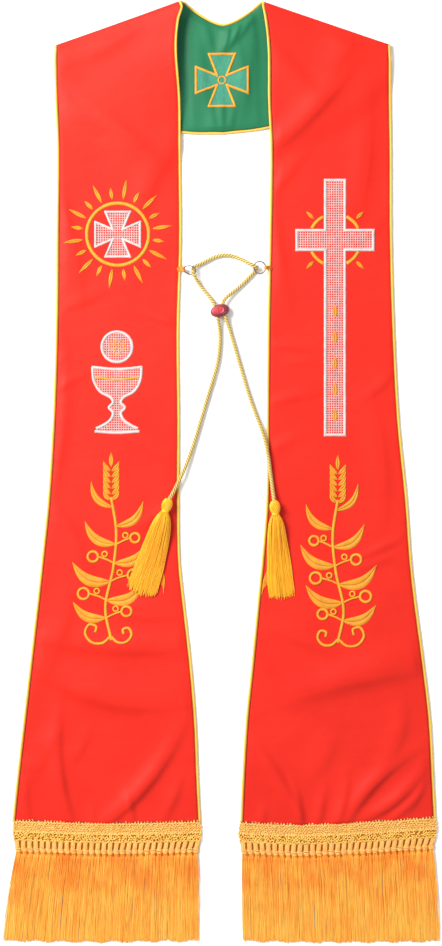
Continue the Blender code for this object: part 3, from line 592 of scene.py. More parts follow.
print("finishes")
finishes = {
    satinFinish: {              # roughness, sheen
        "redSatin": (0.5, 0.03), "greenSatin": (0.5, 0.04), "pipingSatin": (0.3, 0.1),
        "seamGold": (0.4, 0.08),
    },
    stitchFinish: {             # pitch in metres, slant, roughness, sheen
        "goldStitch": (0.00055, 0.0, 0.55, 0.03), "goldSlant": (0.00055, 0.8, 0.6, 0.02),
        "whiteStitch": (0.00055, 0.0), "netThread": (0.0006, 0.0), "mintStitch": (0.0006, 0.0),
        "crochetSilk": (0.0011, 1.6), "bandSilk": (0.0011, 1.6), "barSilk": (0.0011, 1.6),
        "seamRed": (0.0011, 1.2), "orangeThread": (0.0008, 1.2),
    },
    silkFinish: {               # length of the deeper root in metres, sheen, specular
        "backingSilk": (), "bandShade": (0.0, 0.0, 0.1), "slitShade": (0.0, 0.0, 0.1),
        "fringeSilk": (0.10,), "fringeDeep": (0.11,), "tasselSilk": (),
    },
    ropeFinish: {"ropeYarn": ()},
    wireFinish: {"tarnishedWire": ()},
    beadFinish: {"beadFace": (0.42, 0.12), "beadSide": (0.28, 0.5)},     # roughness, coat
}
for make, rows in finishes.items():
    for name, settings in rows.items():
        make(name, *settings)

# The bands' outline, piping included: y, the inner edge's x and the outer edge's
bandRows = {
    "left": [
        (-484.5, -27.5, -289.5), (-426, -30.5, -283.5), (-343, -34, -274), (-260, -41, -264.5),
        (-176.5, -50.5, -255), (-121.5, -56, -249), (-38, -57.5, -240.5), (73, -57, -233.5),
        (197.5, -58, -229.5), (322, -54.5, -228.5), (447, -55.5, -227.5), (516.5, -56, -230),
        (591, -60.5, -231.5), (650.5, -54, -231.5),
    ],
    "right": [
        (-484.5, 26.5, 298.5), (-426, 29, 295.5), (-343, 34, 291), (-260, 42.5, 281.5),
        (-176.5, 50.5, 270.5), (-121.5, 56, 264.5), (-38, 62.5, 258.5), (73, 63, 247.5),
        (197.5, 64, 241), (322, 66.5, 237.5), (447, 68, 237), (516.5, 65, 236),
        (591, 64, 235.5), (650.5, 57, 235.5),
    ],
}
neckFolds = {                   # neck point, then shoulder point
    "left": ((-55.5, 652.0), (-231.5, 591.0)),
    "right": ((58.0, 652.0), (235.5, 592.0)),
}
backHems = {
    "left": [(-231.5, 591.0), (-198, 549.5), (-158, 515), (-108, 487), (-54, 470), (3, 468)],
    "right": [(235.5, 592.0), (202.5, 551), (162, 517.5), (113.5, 492.5), (62.5, 475.5), (3, 468)],
}
neckCurve = {
    "peakX": {"left": -50.5, "right": 55.0},
    "peakY": 652.0,
    "dipY": 621.5,
    "middleX": 3.0,             # centre back
    "shape": 1.5,               # 1 would make it a plain V
}

fringe = {
    # share of the heading's length, x and y of its upper edge
    "left": {"top": [(0, -287.5, -483.2), (0.5, -158, -487.0), (1, -28.0, -484.6)],
             "tips": (-303.0, -30.5, -647.5)},
    "right": {"top": [(0, 25.5, -486.2), (0.36, 125, -488.8), (1, 298.0, -479.6)],
              "tips": (30.0, 303.0, -648.0)},
    "spread": [(0, 0), (5, 1.4), (14, 1.6), (31, -0.8), (42, -3.0)],    # past each end, by depth
    "bars": {"left": 30, "right": 31},
    "long": 262.0,              # shares of the heading's length are worked out from this
    "deep": 42.0,               # of the crocheted heading
    "threads": 27,              # hanging from each knot
    "under": 620,               # in the layer below
    "threadThick": 0.78,
    "underThick": 1.12,
    "picots": 2.0,              # for each bar
    "margin": 1.5,              # of the tips from each end
    "ragged": 2.6,              # how far a tip is off the line, at most
    "points": 13,
    "lowest": 0.45,             # a thread's middle above the floor
    # of the layer below, then of the one above
    "tipDrift": (0.9, 1.5),
    "tipLift": (0.8, 0.0),
    "ripple": (0.5, 1.0),
    "height": (1.5, 2.3),
}

cloth = {
    "thick": 0.8,
    "top": 1.6,                 # of a band above what it lies on
    "backStack": 3.8,           # height of the back part under a band
    "hem": -497.0,              # tucked under the fringe's heading
    "rows": 310,
    "hemRows": 0.06,            # how far rows crowd towards the hem
    "cells": 80,
    "foldSteps": 12,
    "backRows": 40,
    "inset": 3.7,               # cloth edge in from the outline, which leaves room for the piping
    "tuck": 0.5,                # and back under the piping's round
    "edgeRound": 4.5,
    "edgeDrop": 0.6,
    "drapeStart": 14.0,
    "drapeLength": 32.0,
    "waver": 0.28,              # slow unevenness of the lying cloth
    "creaseFade": 13.0,
    "creaseGain": 1.5,
    "deepest": 0.35,            # of a trough, because the cloth lies on the floor
    "keyWay": (0.83, 0.56),     # how much a slope along y or x turns to or from the key light
    "gentleSide": 1.9,          # how much wider a crease is on the side towards the key light
    "steepSide": 0.82,
    "foldFade": 26.0,
    "hemFade": 4.5,
    "foldSlant": 1.1,           # an edge crosses the fold at a slant, which takes this much more room
    "floorGap": 0.05,
    "neckLift": {"left": 7.4, "right": 2.4},    # extra radius of the fold at the neck point
    "neckFlat": 55.0,           # length over which the lift stays
    "neckReach": 118.0,         # and over which it dies out
    "cornerReach": 26.0,        # length over which the back comes down from the fold at a neck point
    "foldOpen": 0.14,           # share of the fold over which it closes flat
    "foldBlend": 30.0,          # length over which an edge comes to the fold's end
    "backBlend": 0.12,          # share of the back over which its rows straighten
}

# Soft ridges and troughs: x, y, angle, half length, half width, height, bend, lean.
creases = {
    "left": [
        (-105, -440, 49, 78, 9, 3.3, 0.0015, 0.8), (-219, -424, 99, 75, 8, 2.9, -0.0015, 0.8),
        (-160, -318, -14, 85, 15, 3.2, 0.002, 0.3), (-140, -247, -2, 95, 12, 2.6, 0.0008, 0.4),
        (-105, -203, -6, 30, 4.5, 1.3, 0.003, 0.6), (-112, -190, -3, 24, 4, 0.9, 0.003, 0.6),
        (-122, -470, 100, 24, 4.5, 1.9, 0.002, 0.7), (-268, -455, 97, 34, 6, 1.3, 0.0, 0.6),
        (-64, -455, 68, 28, 6, 1.6, 0.003, 0.6), (-176, -476, 84, 18, 5, 0.9, 0.0, 0.5),
        (-246, -395, 60, 46, 12, 1.5, 0.0, 0.4), (-190, -380, 62, 26, 7, 1.0, 0.004, 0.5),
        (-123, 462, 142, 58, 15, 2.4, 0.001, 0.4), (-160, 585, 28, 60, 16, 1.6, 0.003, 0.4),
        (-200, 505, 140, 34, 9, 1.2, -0.002, 0.5), (-207, 330, 104, 90, 13, 1.3, 0.001, 0.5),
        (-95, 395, 65, 70, 12, 1.3, -0.002, 0.5), (-220, 40, 80, 110, 13, 1.3, 0.001, 0.5),
        (-214, 120, 26, 26, 5, 0.9, 0.0, 0.5), (-80, 212, 158, 26, 5, 1.0, 0.0, 0.6),
        (-198, -95, 116, 60, 12, 1.5, 0.002, 0.5), (-82, -60, 34, 34, 6, 1.2, 0.002, 0.6),
        (-231, 149, 38, 16, 4, 0.9, 0.0, 0.3), (-222, -228, 70, 60, 13, 1.3, 0.001, 0.4),
        (-92, 30, 150, 36, 7, 1.0, 0.0, 0.5), (-190, 235, 22, 30, 7, 0.8, 0.0, 0.5),
    ],
    "right": [
        (127, 492, 45, 72, 11, 3.0, 0.001, 0.7), (176, 585, 58, 48, 14, 1.8, 0.002, 0.5),
        (104, 556, 132, 40, 11, 1.3, 0.0, 0.4), (92, 408, 50, 34, 8, 1.3, 0.0, 0.6),
        (205, 430, 84, 85, 13, 1.4, 0.001, 0.5), (84, 300, 100, 60, 10, 1.1, 0.0, 0.5),
        (100, 171, -8, 34, 3.8, 1.2, 0.002, 0.7), (112, 150, -5, 24, 4, 0.9, 0.002, 0.6),
        (95, 100, 12, 32, 5, 1.1, 0.0, 0.6), (222, 118, 40, 32, 6, 1.0, 0.0, 0.5),
        (86, 36, 24, 30, 5.5, 1.2, 0.0, 0.6), (226, 20, 96, 80, 13, 1.3, 0.001, 0.5),
        (220, -108, 24, 32, 4, 1.5, 0.001, 0.7), (214, -128, 20, 28, 5, 1.1, 0.0, 0.6),
        (190, -290, 13, 88, 16, 4.3, -0.0005, 0.4), (120, -232, 160, 50, 13, 1.5, 0.0, 0.4),
        (244, -457, 39, 52, 7, 2.9, 0.003, 0.8), (207, -442, 49, 62, 8, 3.3, -0.002, 0.8),
        (140, -472, 80, 30, 5.5, 1.7, 0.0, 0.7), (88, -432, 119, 58, 9, 2.8, 0.001, 0.7),
        (112, -468, 98, 34, 5, 2.0, 0.002, 0.8), (170, -466, 74, 34, 6, 1.9, 0.002, 0.8),
        (253, -470, 43, 26, 5, 1.6, 0.0, 0.7), (275, -448, 62, 32, 5, 1.5, 0.002, 0.6),
        (250, -366, 72, 44, 10, 1.8, 0.005, 0.5), (60, -478, 84, 18, 5, 1.1, 0.0, 0.5),
        (150, -392, 64, 40, 12, 1.4, 0.003, 0.5), (205, 330, 34, 28, 7, 0.8, 0.0, 0.5),
    ],
    "back": [
        (10, 604, 80, 26, 5.0, 2.1, 0.006, 0.5), (22, 607, 68, 26, 4.5, 1.9, 0.006, 0.5),
        (33, 612, 56, 24, 5.0, 1.7, 0.004, 0.5), (-16, 602, 104, 22, 6.0, 1.2, 0.0, 0.4),
        (-26, 560, 97, 50, 9, 1.2, 0.001, 0.2), (3, 492, 90, 26, 5.0, 1.6, 0.0, 0.5),
        (-10, 488, 98, 24, 5.0, 1.2, 0.0, 0.4), (40, 560, 84, 70, 11, 1.6, 0.001, 0.4),
        (16, 486, 80, 22, 5.0, 1.1, 0.0, 0.5), (30, 560, 100, 50, 9, 1.0, 0.001, 0.3),
    ],
}


def edgeX(side, which, y):
    return fromTable(bandRows[side], y, 1 if which == "inner" else 2)


def clothWay(side, which):
    # the level direction from a band's edge to its cloth
    return (-1, 0) if (side == "left") == (which == "inner") else (1, 0)


def foldFrame(side):
    neck, shoulder = (np.array(spot) for spot in neckFolds[side])
    along = unit(shoulder - neck)
    outward = np.array([-along[1], along[0]])
    outward *= 1 if outward[1] > 0 else -1
    inset = along * cloth["inset"] * cloth["foldSlant"]
    return neck + inset, shoulder - inset, outward


def foldRadius(side, share):
    # of the outer surface; the fold stands higher towards the neck
    flat = (cloth["backStack"] + cloth["top"]) / 2
    return flat + cloth["neckLift"][side] * (1 - share) ** 2


def neckArch(side, share, fromFold):
    # the inner edge stands up near the neck and comes down to lie flat
    fall = 1 - smooth((fromFold - cloth["neckFlat"]) / cloth["neckReach"])
    return 2 * cloth["neckLift"][side] * (1 - share) ** 2 * fall


def cornerRise(side, x, y):
    # the back part leaves the fold half-way up at a neck point and comes down to lie flat
    neck, _, _ = foldFrame(side)
    far = np.hypot(x - neck[0], y - neck[1])
    return float(foldRadius(side, 0.0)) * (1 - smooth(far / cloth["cornerReach"]))


def pastBackHem(x, y):
    # distance outside the back's lower edge, negative over the back itself
    best = np.full(x.shape, 1e9)
    above = np.zeros(x.shape, bool)
    for side in sides:
        line = smoothPath(backHems[side], 8.0)
        for start, end in zip(line, line[1:]):
            run = end - start
            t = np.clip(((x - start[0]) * run[0] + (y - start[1]) * run[1]) / run.dot(run), 0, 1)
            nearX, nearY = start[0] + run[0] * t, start[1] + run[1] * t
            away = np.hypot(x - nearX, y - nearY)
            closer = away < best
            best[closer] = away[closer]
            above[closer] = (y > nearY)[closer]
    return np.where(above, -best, best)


def standHeight(x, y):
    # a front band lies on the back, then comes down to the floor past the back's lower edge
    past = pastBackHem(x, y) - cloth["drapeStart"]
    return cloth["backStack"] * (1 - smooth(past / cloth["drapeLength"]))


def creaseLift(name, x, y):
    lift = np.zeros(x.shape)
    keyX, keyY = cloth["keyWay"]
    for cx, cy, angle, length, width, height, bend, lean in creases[name]:
        turn = math.radians(angle)
        along = (x - cx) * math.cos(turn) + (y - cy) * math.sin(turn)
        off = (y - cy) * math.cos(turn) - (x - cx) * math.sin(turn)
        off = (off - bend * along * along) / width
        towardsKey = height * (keyX * math.sin(turn) + keyY * math.cos(turn))
        off = off / np.where(off * towardsKey > 0, cloth["gentleSide"], cloth["steepSide"])
        shape = np.exp(-off**2) * (1 + lean * np.tanh(1.5 * off))
        lift += cloth["creaseGain"] * height * np.exp(-(along / length) ** 2) * shape
    return lift


def frontTop(side, x, y):
    # height of a band's upper surface
    inner, outer = edgeX(side, "inner", y), edgeX(side, "outer", y)
    neck, shoulder, _ = foldFrame(side)
    share = np.clip((x - inner) / (outer - inner), 0, 1)
    fromEdge = np.minimum(np.abs(x - inner), np.abs(outer - x)) - cloth["inset"] + cloth["tuck"]
    fromFold = neck[1] + (shoulder[1] - neck[1]) * share - y
    top = np.array(fringe[side]["top"])
    fromHem = y - np.interp(x, top[:, 1], top[:, 2])
    fade = smooth(fromEdge / cloth["creaseFade"]) * smooth(fromFold / cloth["foldFade"])
    fade = fade * smooth((fromHem + 1.5) / cloth["hemFade"])
    waver = np.sin(x / 31 + y / 47 + 1.3) * np.sin(y / 38 - x / 83) + 0.5 * np.sin(x / 17 - y / 26)
    lift = (creaseLift(side, x, y) + cloth["waver"] * waver) * fade
    edgeFall = cloth["edgeDrop"] * (1 - smooth(fromEdge / cloth["edgeRound"])) * smooth(fromFold / 8)
    level = standHeight(x, y) + cloth["top"] + neckArch(side, share, fromFold)
    return level + np.maximum(lift, -cloth["deepest"]) - edgeFall


def backEdges(side, count):
    # the back part's two edges, from the shoulder fold to the centre back
    t = np.linspace(0, 1, count)
    x = neckCurve["peakX"][side] + (neckCurve["middleX"] - neckCurve["peakX"][side]) * t
    y = neckCurve["dipY"] + (neckCurve["peakY"] - neckCurve["dipY"]) * (1 - t) ** neckCurve["shape"]
    inner = insetLine(stacked(x, y), cloth["inset"], (0, -1))
    outer = insetLine(alongPath(backHems[side], t), cloth["inset"], (0, 1))
    inner[-1, 0] = outer[-1, 0] = neckCurve["middleX"]
    return inner, outer


def bowOf(line, share):
    # how far a line leaves the straight one between its ends
    return line - (line[0] + (line[-1] - line[0]) * share[:, None])


def bandPoints(side):
    # the outer surface of one band, from under the heading over the fold to the centre back
    neck, shoulder, outward = foldFrame(side)
    share = np.linspace(0, 1, cloth["cells"] + 1)
    radii = foldRadius(side, share)
    axis = neck + (shoulder - neck) * share[:, None] - outward * radii[:, None]
    t = np.linspace(0, 1, cloth["rows"] + 1)[:, None]
    t = t - cloth["hemRows"] * np.sin(pi * np.minimum(t, 0.5) * 2) * (t < 0.5)
    edges = []
    for which, end in (("inner", axis[0]), ("outer", axis[-1])):
        y = cloth["hem"] + (end[1] - cloth["hem"]) * t[:, 0]
        line = stacked(edgeX(side, which, y), y)
        line = insetLine(line, cloth["inset"] - cloth["tuck"], clothWay(side, which))
        blend = smooth((y - end[1]) / cloth["foldBlend"] + 1)[:, None]
        edges.append(line + (end - line[-1]) * blend)
    flat = edges[0][:, None] + (edges[1] - edges[0])[:, None] * share[:, None]
    flat += bowOf(axis, share) * smooth((t - 0.9) / 0.1)[..., None]
    settle = smooth((t - 0.985) / 0.015)
    z = frontTop(side, flat[..., 0], flat[..., 1]) * (1 - settle) + 2 * radii * settle
    rows = [joined(flat, z)]
    # round the fold, which stays half open at the neck point
    whole = pi / 2 * (1 + smooth(share / cloth["foldOpen"]))
    for k in range(1, cloth["foldSteps"] + 1):
        angle = whole * k / cloth["foldSteps"]
        foot = axis + outward * (np.sin(angle) * radii)[:, None]
        rows.append(joined(foot, np.maximum(radii * (1 + np.cos(angle)), cloth["floorGap"]))[None])
    # and back under the band
    inner, outer = backEdges(side, cloth["backRows"] + 1)
    inner[0], outer[0] = foot[0], foot[-1]
    past = np.linspace(0, 1, cloth["backRows"] + 1) / cloth["backBlend"]
    leaving = 1 - smooth(past)[:, None, None]
    back = inner[:, None] + (outer - inner)[:, None] * share[:, None] + bowOf(foot, share) * leaving
    low = cloth["floorGap"] + cornerRise(side, back[..., 0], back[..., 1])
    rows.append(joined(back, low)[1:])
    points = np.concatenate(rows)
    return points[:, ::-1] if side == "left" else points


print("bands")
bands = {}
for side in sides:
    bands[side] = addShell("band_" + side, bandPoints(side), ["redSatin", "greenSatin"], cloth["thick"])
    standsFor(bands[side], "face_" + side)

lining = {
    "top": 3.1,                 # of the lining over the back part
    "thick": 0.6,
    "columns": 90,              # on each side of the centre back
    "cells": 64,
    "hidden": 4.0,              # it lies flat this far in under a band
    "open": 14.0,
    "fade": 7.0,
    "arch": 1.2,                # it rises this much in the middle of the opening
}


def liningTop(x, y, low, high):
    inside = np.minimum(x - edgeX("left", "inner", y), edgeX("right", "inner", y) - x)
    openPart = smooth((inside - lining["hidden"]) / lining["open"])
    ends = smooth(np.minimum(y - low, high - y) / lining["fade"])
    rise = cornerRise("left", x, y) + cornerRise("right", x, y)
    return lining["top"] + rise + (creaseLift("back", x, y) + lining["arch"] * openPart) * openPart * ends


def liningSurface(x, y):
    # the lining's height at any place, between the neck curve and the lower edge there
    ends = []
    for left, right in zip(backEdges("left", 60), backEdges("right", 60)):
        line = np.concatenate([left, right[-2::-1]])
        ends.append(np.interp(x, line[:, 0], line[:, 1]))
    return liningTop(x, y, ends[1], ends[0])


def liningPoints():
    halves = []
    for side in sides:
        inner, outer = (edge[1:] for edge in backEdges(side, lining["columns"] + 1))
        share = np.linspace(0, 1, lining["cells"] + 1)[:, None]
        halves.append(outer[:, None] + (inner - outer)[:, None] * share)
    flat = np.concatenate([halves[0], halves[1][-2::-1]])
    z = liningTop(flat[..., 0], flat[..., 1], flat[:, :1, 1], flat[:, -1:, 1])
    return np.swapaxes(joined(flat, z), 0, 1)


neckLining = addShell("lining_neck_cloth", liningPoints(), ["greenSatin"], lining["thick"])
standsFor(neckLining, "lining_neck")

piping = {
    "thick": 3.1,
    "hem": -484.0,
    "lift": 1.75,               # its middle above what it lies on
    "out": 2.0,                 # its middle outside the cloth's edge
    "frontPoints": 220,         # of its route along a band, then along half the back
    "backPoints": 70,
    "foldBlend": 20.0,
    "foldSteps": 10,
    "step": 2.6,                # between its sections, or a turn of this many radians
    "bend": 0.28,
    "facets": 10,
    "landing": {"inner": 3, "outer": 2},        # points of the back's edge left out past the fold
    "sweep": {"inner": pi / 2, "outer": pi},    # how far it follows the fold round
    "unevenness": 0.09,
    "flange": 1.0,              # the folded strip between the piping and the cloth, coloured a darker gold as painted shade of the seam
    "flangeIn": 1.9,
    "flangeUp": 0.35,
}


def towardsCloth(line, which):
    # the level direction from the piping to the cloth it edges; on the folds it follows the fold
    run = unit(np.gradient(line, axis=0))
    across = np.cross(run, (0.0, 0.0, 1.0))
    hand = 1 if which == "inner" else -1
    half = len(line) // 2
    folds = np.argmax(line[:half, 1]), half + np.argmax(line[half:, 1])
    wanted = np.tile((0.0, -1.0 * hand, 0.0), (len(line), 1))
    wanted[:folds[0]] = (-hand, 0, 0)
    wanted[folds[1]:] = (hand, 0, 0)
    across *= np.where((across * wanted).sum(axis=1) < 0, -1, 1)[:, None]
    upright = smooth((np.abs(run[:, 2]) - 0.25) / 0.3)[:, None]
    for side, part in (("left", slice(0, half)), ("right", slice(half, None))):
        neck, shoulder, _ = foldFrame(side)
        away = np.append(unit(shoulder - neck) * hand, 0.0)
        across[part] = across[part] * (1 - upright[part]) + away * upright[part]
    for _ in range(3):
        across[1:-1] = (across[:-2] + 2 * across[1:-1] + across[2:]) / 4
    return unit(across)


def pipingLine(side, which):
    # up the front, round the fold and along the back's edge
    neck, shoulder, outward = foldFrame(side)
    isInner = which == "inner"
    share = 0.0 if isInner else 1.0
    past = unit(shoulder - neck) * piping["out"] * cloth["foldSlant"]
    turn = neck - past if isInner else shoulder + past
    turn = turn - outward * float(foldRadius(side, share))
    y = np.linspace(piping["hem"], turn[1], piping["frontPoints"])
    line = stacked(edgeX(side, which, y), y)
    line = insetLine(line, cloth["inset"] - piping["out"], clothWay(side, which))
    line = line + (turn - line[-1]) * smooth((y - turn[1]) / piping["foldBlend"] + 1)[:, None]
    level = standHeight(line[:, 0], line[:, 1]) + neckArch(side, share, turn[1] - y)
    path = [joined(line, level + piping["lift"])]
    high = cloth["backStack"] + 2 * cloth["neckLift"][side] * (1 - share) ** 2
    edge = backEdges(side, piping["backPoints"])[0 if isInner else 1]
    away = insetLine(edge, piping["out"], (0, 1 if isInner else -1))
    away[-1, 0] = neckCurve["middleX"]
    away = away[piping["landing"][which]:]
    for k in range(1, piping["foldSteps"]):
        angle = piping["sweep"][which] * k / piping["foldSteps"]
        spot = turn + outward * math.sin(angle) * high / 2
        if not isInner:
            spot += (away[0] - spot) * smooth((k - 4) / 6)
        path.append([[*spot, high / 2 * (1 + math.cos(angle)) + piping["lift"]]])
    path.append(joined(away, piping["lift"] + cornerRise(side, away[:, 0], away[:, 1])))
    return np.concatenate(path)


print("piping")
for which, node in (("inner", "piping_neck"), ("outer", "piping_outer")):
    line = np.concatenate([pipingLine("left", which), pipingLine("right", which)[-2::-1]])
    line = keptBends(smoothPath(line, 0.7), piping["step"], piping["bend"])
    swell = np.sin(runLengths(line) / 5.3) * chance.uniform(0.4, 1.0, len(line))
    parts = cordPart(line, piping["thick"] / 2 * (1 + piping["unevenness"] * swell), piping["facets"])
    parts[0]["uvs"] = parts[0]["uvs"] * np.array([1.0, piping["thick"] * pi * mm])
    flange = line + towardsCloth(line, which) * piping["flangeIn"]
    flange[:, 2] += piping["flangeUp"]
    parts += tubeParts(flange[None], piping["flange"] / 2, 6, 1, across=carriedSides(line)[None])
    standsFor(makePiece(node + "_cord", parts, ["pipingSatin", "seamGold"]), node)

# The heading's finishes and their slots
crochet, tape, slit, bar, seamShadow, lace, laceDark = range(7)
headingSlots = ["crochetSilk", "backingSilk", "slitShade", "barSilk", "seamRed", "bandSilk", "bandShade"]

# Depths are below the heading's upper edge
heading = {
    # first and last depth, rows, stitches for each bar, their length, radius, share left out, slot:
    # the knitted tape, its ridge and the lace band, with a row of small holes between them
    "fields": [
        (0.9, 12.2, 5, 4, 3.1, 0.72, 0.0, crochet),
        (14.2, 14.2, 1, 4, 3.4, 0.95, 0.0, crochet),
        (16.5, 16.5, 1, 3, 3.4, 0.85, 0.2, lace),
        (18.8, 24.2, 3, 4, 3.3, 0.9, 0.12, lace),
    ],
    "loose": (0.2, 0.25),       # how far a stitch is off its place along and down, in stitches
    "lean": (0.4, 1.0),         # radians
    "stitchSizes": (0.8, 1.15),
    "chainDepth": 25.6,
    "chainWaves": 3,            # for each bar
    "chainRadius": 0.7,
    "barEnds": (25.4, 37.0),
    "strands": 6,               # in each bar
    "strandGap": 1.02,
    "strandRadius": 0.7,
    "barSlant": (0.2, 2.0),     # least and most, by chance
    "knot": [(36.6, 4.0), (38.2, 4.3), (39.8, 4.1), (41.2, 3.0)],   # depth and half width of its wraps
    "wrapRadius": 0.85,
    "gapEnds": (40.6, 44.6),    # of the dark thread painted as the shade of the gap between a knot and the next
    "gapRadius": 0.62,
    "gapsMissing": 0.12,
    "ties": 0.8,                # dark brown dots in the lace band, painted as the shade of its holes, for each bar
    "shadeDotDepths": [16.0, 16.4, 19.5, 22.5],
    "shadeDotRadius": 0.55,
    "seamDepth": -2.0,
    "dashes": (0.12, 0.7, 0.95),            # radii of the seam's dark dashes, which also paint the shadow of the heading's edge, and the chance of each
    "dashChances": (0.4, 0.3, 0.3),
    "picot": (1.1, 1.9),        # least height of a small loop, and what chance adds to it
    # the flat tape below, in deeper copies of the silk that paint the shade seen between the stitches and
    # through the slits: its slot, first and last depth and height above the floor
    "tapes": [(tape, 1.5, 14.6, 1.75), (laceDark, 14.6, 25.0, 1.4), (slit, 25.0, 41.0, 0.8)],
}


def headingSpot(side, share, down):
    # x and y on the heading, by share of its length and depth below its upper edge
    top = np.array(fringe[side]["top"])
    spread = np.array(fringe["spread"])
    out = np.interp(down, spread[:, 0], spread[:, 1])
    x = top[0, 1] - out + (top[-1, 1] - top[0, 1] + 2 * out) * share
    return x, fromTable(top, share, 2) - down


def headingTubes(side, share, down, z, radius, facets, slot):
    x, y = headingSpot(side, np.clip(share, 0.001, 0.999), down)
    return tubeParts(stacked(x, y, z), radius, facets, slot)


def headingRun(side, down, z, radius, facets, slot=crochet):
    # one thread over the whole length of the heading
    share = np.linspace(0.002, 0.998, down.shape[-1])[None]
    return headingTubes(side, share, down, z, radius, facets, slot)


def chainParts(side):
    # a chain: two threads that cross at every stitch
    depth, waves = heading["chainDepth"], heading["chainWaves"] * fringe["bars"][side]
    parts = []
    for start in (0.0, pi):
        turn = np.linspace(0, waves * 2 * pi, waves * 6 + 1) + start
        drift = 0.3 * np.sin(turn / 7.3 + depth) + chance.uniform(-0.12, 0.12, len(turn))
        downs = depth + drift + 0.6 * np.sin(turn)
        parts += headingRun(side, downs, 2.4 + 0.35 * np.cos(turn * 2), heading["chainRadius"], 4)
    return parts


def stitchField(side, first, last, rows, columns, long, radius, missing, slot):
    # small arched stitches in rows, each leaning the other way from the next
    row, column = np.divmod(np.arange(rows * columns), columns)
    kept = chance.uniform(0, 1, len(row)) >= missing
    row, column = row[kept], column[kept]
    n = len(row)
    along, below = heading["loose"]
    share = (column + 0.5 + 0.5 * (row % 2) + chance.uniform(-along, along, n)) / (columns + 0.5)
    down = first + (last - first) * (row + chance.uniform(-below, below, n)) / max(rows - 1, 1)
    lean = np.where(column % 2 == 0, 1, -1) * chance.uniform(*heading["lean"], n)
    size = long * chance.uniform(*heading["stitchSizes"], n)
    t = np.linspace(-0.5, 0.5, 4)[None]
    shares = share[:, None] + (size * np.sin(lean))[:, None] * t / fringe["long"]
    downs = down[:, None] + (size * np.cos(lean))[:, None] * t
    z = 1.9 + chance.uniform(0.0, 0.9, (n, 1)) + 1.0 * (1 - (2 * t) ** 2)
    return headingTubes(side, shares, downs, z, radius, 4, slot)


def barThreads(side, middles, downs, heights, radius, slot=bar, offsets=0.0, slants=0.0):
    # short threads across the heading; t runs down each one
    t = np.linspace(0, 1, 7)[None]
    bowed = offsets * (1 - 0.12 * np.sin(pi * t)) + slants * (0.5 - t)
    down = downs[0] + (downs[1] - downs[0]) * t
    z = heights + 0.5 * np.sin(pi * t)
    return headingTubes(side, middles + bowed / fringe["long"], down, z, radius, 5, slot)


def barParts(side):
    # bars of side by side strands, with slits between them
    bars, count = fringe["bars"][side], heading["strands"]
    middle = np.repeat(((np.arange(bars) + 0.5) / bars)[:, None], count, axis=0)
    strand = np.tile(np.arange(count) - (count - 1) / 2, bars)[:, None]
    slants = np.repeat(chance.uniform(*heading["barSlant"], bars), count)[:, None]
    heights = 1.9 + 0.22 * ((count - 1) / 2 - np.abs(strand))
    return barThreads(side, middle, heading["barEnds"], heights, heading["strandRadius"],
                      offsets=strand * heading["strandGap"], slants=slants)


def knotParts(side):
    # a wrapped knot under each bar, and a dark thread painted as the shade of the gap between it and the
    # next
    bars = fringe["bars"][side]
    middle = ((np.arange(bars) + 0.5) / bars)[:, None]
    t = np.linspace(-1, 1, 9)[None]
    z = 1.0 + 2.4 * np.sqrt(np.maximum(1 - np.abs(t) ** 2.4, 0))
    parts = []
    for down, wide in heading["knot"]:
        downs = down + chance.uniform(-0.35, 0.35, (bars, 1)) + 0.5 * t
        shares = middle + t * wide / fringe["long"]
        parts += headingTubes(side, shares, downs, z, heading["wrapRadius"], 5, bar)
    gaps = (np.arange(1, bars) / bars)[:, None]
    gaps = gaps[chance.uniform(0, 1, bars - 1) > heading["gapsMissing"]]
    return parts + barThreads(side, gaps, heading["gapEnds"], 2.9, heading["gapRadius"], slit)


def shadeDotParts(side):
    # dark dots laid over the lace band: painted shade of its holes
    n = int(fringe["bars"][side] * heading["ties"])
    share = chance.uniform(0.01, 0.99, n)
    down = chance.choice(heading["shadeDotDepths"], n) + chance.uniform(-0.5, 0.5, n)
    x, y = (line[:, None] for line in headingSpot(side, share, down))
    t = np.linspace(-0.5, 0.5, 3)[None]
    ties = stacked(x + 0.7 * t, y + chance.uniform(0.7, 2.0, (n, 1)) * t, 4.4 - 1.2 * t**2)
    return tubeParts(ties, heading["shadeDotRadius"], 5, slit)


def edgeParts(side):
    # the seam that holds the heading, in uneven dark dashes that also paint the shadow of its edge on the
    # cloth, and small loops along the upper edge
    picots = int(fringe["bars"][side] * fringe["picots"])
    dashes = np.repeat(chance.choice(heading["dashes"], picots * 2, p=heading["dashChances"]), 3)
    parts = headingRun(side, np.full(len(dashes), heading["seamDepth"]), 2.3, dashes[None], 5, seamShadow)
    turn = np.linspace(0, picots * 2 * pi, picots * 8 + 1)
    least, more = heading["picot"]
    tall = least + more * np.repeat(chance.uniform(0, 1, picots + 1), 8)[:len(turn)]
    return parts + headingRun(side, -0.4 - tall * np.cos(turn), 2.4 + 0.4 * np.sin(turn), 0.6, 4)


def headingParts(side):
    parts = []
    for first, last, rows, each, *stitches in heading["fields"]:
        parts += stitchField(side, first, last, rows, fringe["bars"][side] * each, *stitches)
    for maker in (chainParts, barParts, knotParts, shadeDotParts, edgeParts):
        parts += maker(side)
    share = np.linspace(0.004, 0.996, 90)[None]
    for slot, first, last, high in heading["tapes"]:
        x, y = headingSpot(side, share, np.linspace(first, last, 8)[:, None])
        parts.append(clothPart(stacked(x, y, high)[::-1], slot))
    return parts


